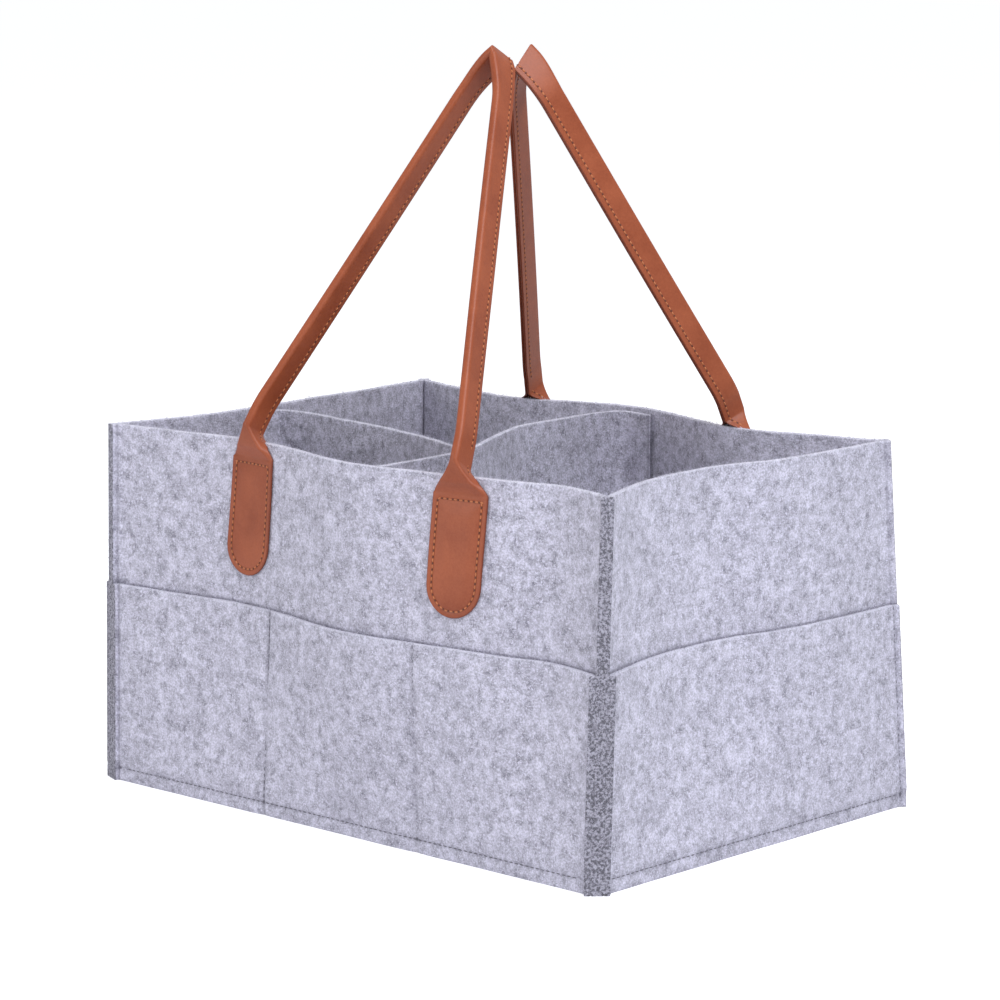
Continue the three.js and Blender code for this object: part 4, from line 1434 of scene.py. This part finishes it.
class CADDY_OT_stitches(bpy.types.Operator):
    """Sews the tabs, straps, box seams and pocket divisions"""
    bl_idname = "caddy.stitches"
    bl_label = "Sew stitches"

    def execute(self, context):
        sewing = context.scene.caddy_sewing
        pitch = sewing.pitch
        for wall, handle in HANDLES.items():
            f, rows = handle_rows(wall)
            lines = tab_seams(f, rows) + strap_seams(f, rows)
            body = handle["body"]
            dress_strap(sew(f"{body}_thread", lines, "Tan thread", pitch=pitch, length=0.66 * pitch,
                            width=sewing.thread_width, **STRAP_THREAD), wall)
            # Dark spots of painted shade for the needle holes, between the thread bars.
            dress_strap(sew(f"{body}_needle_hole_shade", lines, "Needle holes", start=pitch / 2, pitch=pitch,
                            **NEEDLE_HOLE), wall)
        seams = [bottom_seam(name) for name in WALLS]
        seams += [pocket_seam(name, x) for name in ("front", "back") for x in POCKET_SEAMS]
        for name in WALLS:
            for last in (False, True):
                seams.append(fin_seam(name, 1, last, BOTTOM_SEAM, POCKET_HEIGHT - FIN_STOP))
                seams.append(fin_seam(name, 0, last, POCKET_HEIGHT + RIM_STOP, WALL_HEIGHT - RIM_STOP))
        dress(sew("box_thread", seams, "Grey thread", **BOX_THREAD), "caddy", "felt")
        return {"FINISHED"}


class CADDY_OT_fibres(bpy.types.Operator):
    """Lifts loose fibres out of the felt's faces and cut edges"""
    bl_idname = "caddy.fibres"
    bl_label = "Lift loose fibres"

    def execute(self, context):
        sewing = context.scene.caddy_sewing
        kinds = (("nap", nap_share, sewing.fibre_density, sewing.fibre_length),
                 ("rim", rim_share, RIM_FIBRES * sewing.fibre_density, 0.8 * sewing.fibre_length))
        bodies = (("caddy", "felt", [f"{name}_{layer}" for name in WALLS for layer in ("wall", "pocket")]),
                  ("divider", "divider_felt", ["cross_divider", "half_divider"]))
        for k, (body, slot, names) in enumerate(bodies):
            pieces = [bpy.data.objects[f"{name}_felt"] for name in names]
            for kind, share_of, density, length in kinds:
                base = joined_felt(f"{body}_{kind}_base", pieces, share_of)
                fibres = run_nodes(f"{body}_{kind}_fibres", base, shared("Loose fibres", fibre_tree), {
                    "Density": density, "Length": length, "Thickness": sewing.fibre_thickness,
                    "Seed": sewing.seed + k, "Finish": material_for("Loose wool")})
                dress(fibres, body, slot)
        return {"FINISHED"}


def aimed(name, data, place, target):
    """A camera or lamp that looks at its target."""
    holder = placed(name, data)
    holder.location = place
    holder.rotation_euler = Vector(np.subtract(target, place)).to_track_quat("-Z", "Y").to_euler()
    return holder


def masked(tree, kind, mask, plain, seen):
    """One shader for the rays of the mask and another for the rest."""
    node(tree, kind, {"Surface": node(tree, "ShaderNodeMixShader", {"Fac": mask, 1: plain, 2: seen})})
    lay_out(tree)


class CADDY_OT_stage(bpy.types.Operator):
    """Sets the floor, the lamps, the background and the camera"""
    bl_idname = "caddy.stage"
    bl_label = "Set stage"

    def execute(self, context):
        scene = context.scene
        stage = scene.caddy_stage
        # Camera
        camera = bpy.data.cameras.new("product_camera")
        camera.sensor_width = SENSOR
        camera.lens = FOCAL_PIXELS * SENSOR / PICTURE_PIXELS
        camera.clip_end = 50
        level = math.cos(ELEVATION)
        away = np.array([math.sin(AZIMUTH) * level, -math.cos(AZIMUTH) * level, math.sin(ELEVATION)])
        scene.camera = aimed("product_camera", camera, AIM + away * DISTANCE, AIM)
        # Floor
        floor = new_object("floor", [(-8, -8, 0), (8, -8, 0), (8, 8, 0), (-8, 8, 0)], faces=[(0, 1, 2, 3)])
        material = bpy.data.materials.new("Floor")
        tree = cleared(material)
        paint = node(tree, "ShaderNodeBsdfDiffuse", {"Color": (*stage.floor, 1)})
        glow = node(tree, "ShaderNodeEmission", {"Color": (1, 1, 1, 1), "Strength": 0.55})
        both = node(tree, "ShaderNodeAddShader", {0: paint, 1: glow})
        rays = node(tree, "ShaderNodeLightPath").outputs
        masked(tree, "ShaderNodeOutputMaterial", rays["Is Camera Ray"], paint, both)
        floor.data.materials.append(material)
        # World
        world = bpy.data.worlds.new("studio")
        scene.world = world
        tree = cleared(world)
        soft = node(tree, "ShaderNodeBackground", {"Color": (0.93, 0.95, 1.0, 1), "Strength": 0.56})
        white = node(tree, "ShaderNodeBackground", {"Color": (1, 1, 1, 1), "Strength": 1.0})
        rays = node(tree, "ShaderNodeLightPath").outputs
        anyway = maths(tree, "MAXIMUM", rays["Is Camera Ray"], rays["Is Transmission Ray"])
        masked(tree, "ShaderNodeOutputWorld", anyway, soft, white)
        # Lamps
        for name, (place, size, power, tone) in LAMPS.items():
            lamp = bpy.data.lights.new(name, "AREA")
            lamp.shape = "DISK"
            lamp.size = size
            lamp.energy = power * stage.light
            lamp.color = tone
            aimed(name, lamp, place, LAMP_AIM)
        scene.view_settings.view_transform = "Standard"
        return {"FINISHED"}


class CADDY_PT_panel(bpy.types.Panel):
    """Felt caddy tools"""
    bl_idname = "CADDY_PT_panel"
    bl_label = "Felt Caddy"
    bl_space_type = "VIEW_3D"
    bl_region_type = "UI"
    bl_category = "Felt Caddy"

    def draw(self, context):
        layout = self.layout
        for settings in (context.scene.caddy_finish, context.scene.caddy_sewing, context.scene.caddy_stage):
            box = layout.box()
            for key in settings.__annotations__:
                box.prop(settings, key)
        for operator in OPERATORS:
            layout.operator(operator.bl_idname)


OPERATORS = (CADDY_OT_stage, CADDY_OT_walls, CADDY_OT_base, CADDY_OT_divider, CADDY_OT_handles,
             CADDY_OT_stitches, CADDY_OT_fibres)
CLASSES = (CaddyFinish, CaddySewing, CaddyStage, *OPERATORS, CADDY_PT_panel)


def register():
    for cls in CLASSES:
        bpy.utils.register_class(cls)
    bpy.types.Scene.caddy_finish = PointerProperty(type=CaddyFinish)
    bpy.types.Scene.caddy_sewing = PointerProperty(type=CaddySewing)
    bpy.types.Scene.caddy_stage = PointerProperty(type=CaddyStage)


def unregister():
    del bpy.types.Scene.caddy_stage
    del bpy.types.Scene.caddy_sewing
    del bpy.types.Scene.caddy_finish
    for cls in reversed(CLASSES):
        bpy.utils.unregister_class(cls)


def main():
    register()
    bpy.ops.caddy.stage()
    bpy.ops.caddy.walls()
    bpy.ops.caddy.base()
    bpy.ops.caddy.divider()
    bpy.ops.caddy.handles()
    bpy.ops.caddy.stitches()
    bpy.ops.caddy.fibres()


if __name__ == "__main__":
    main()
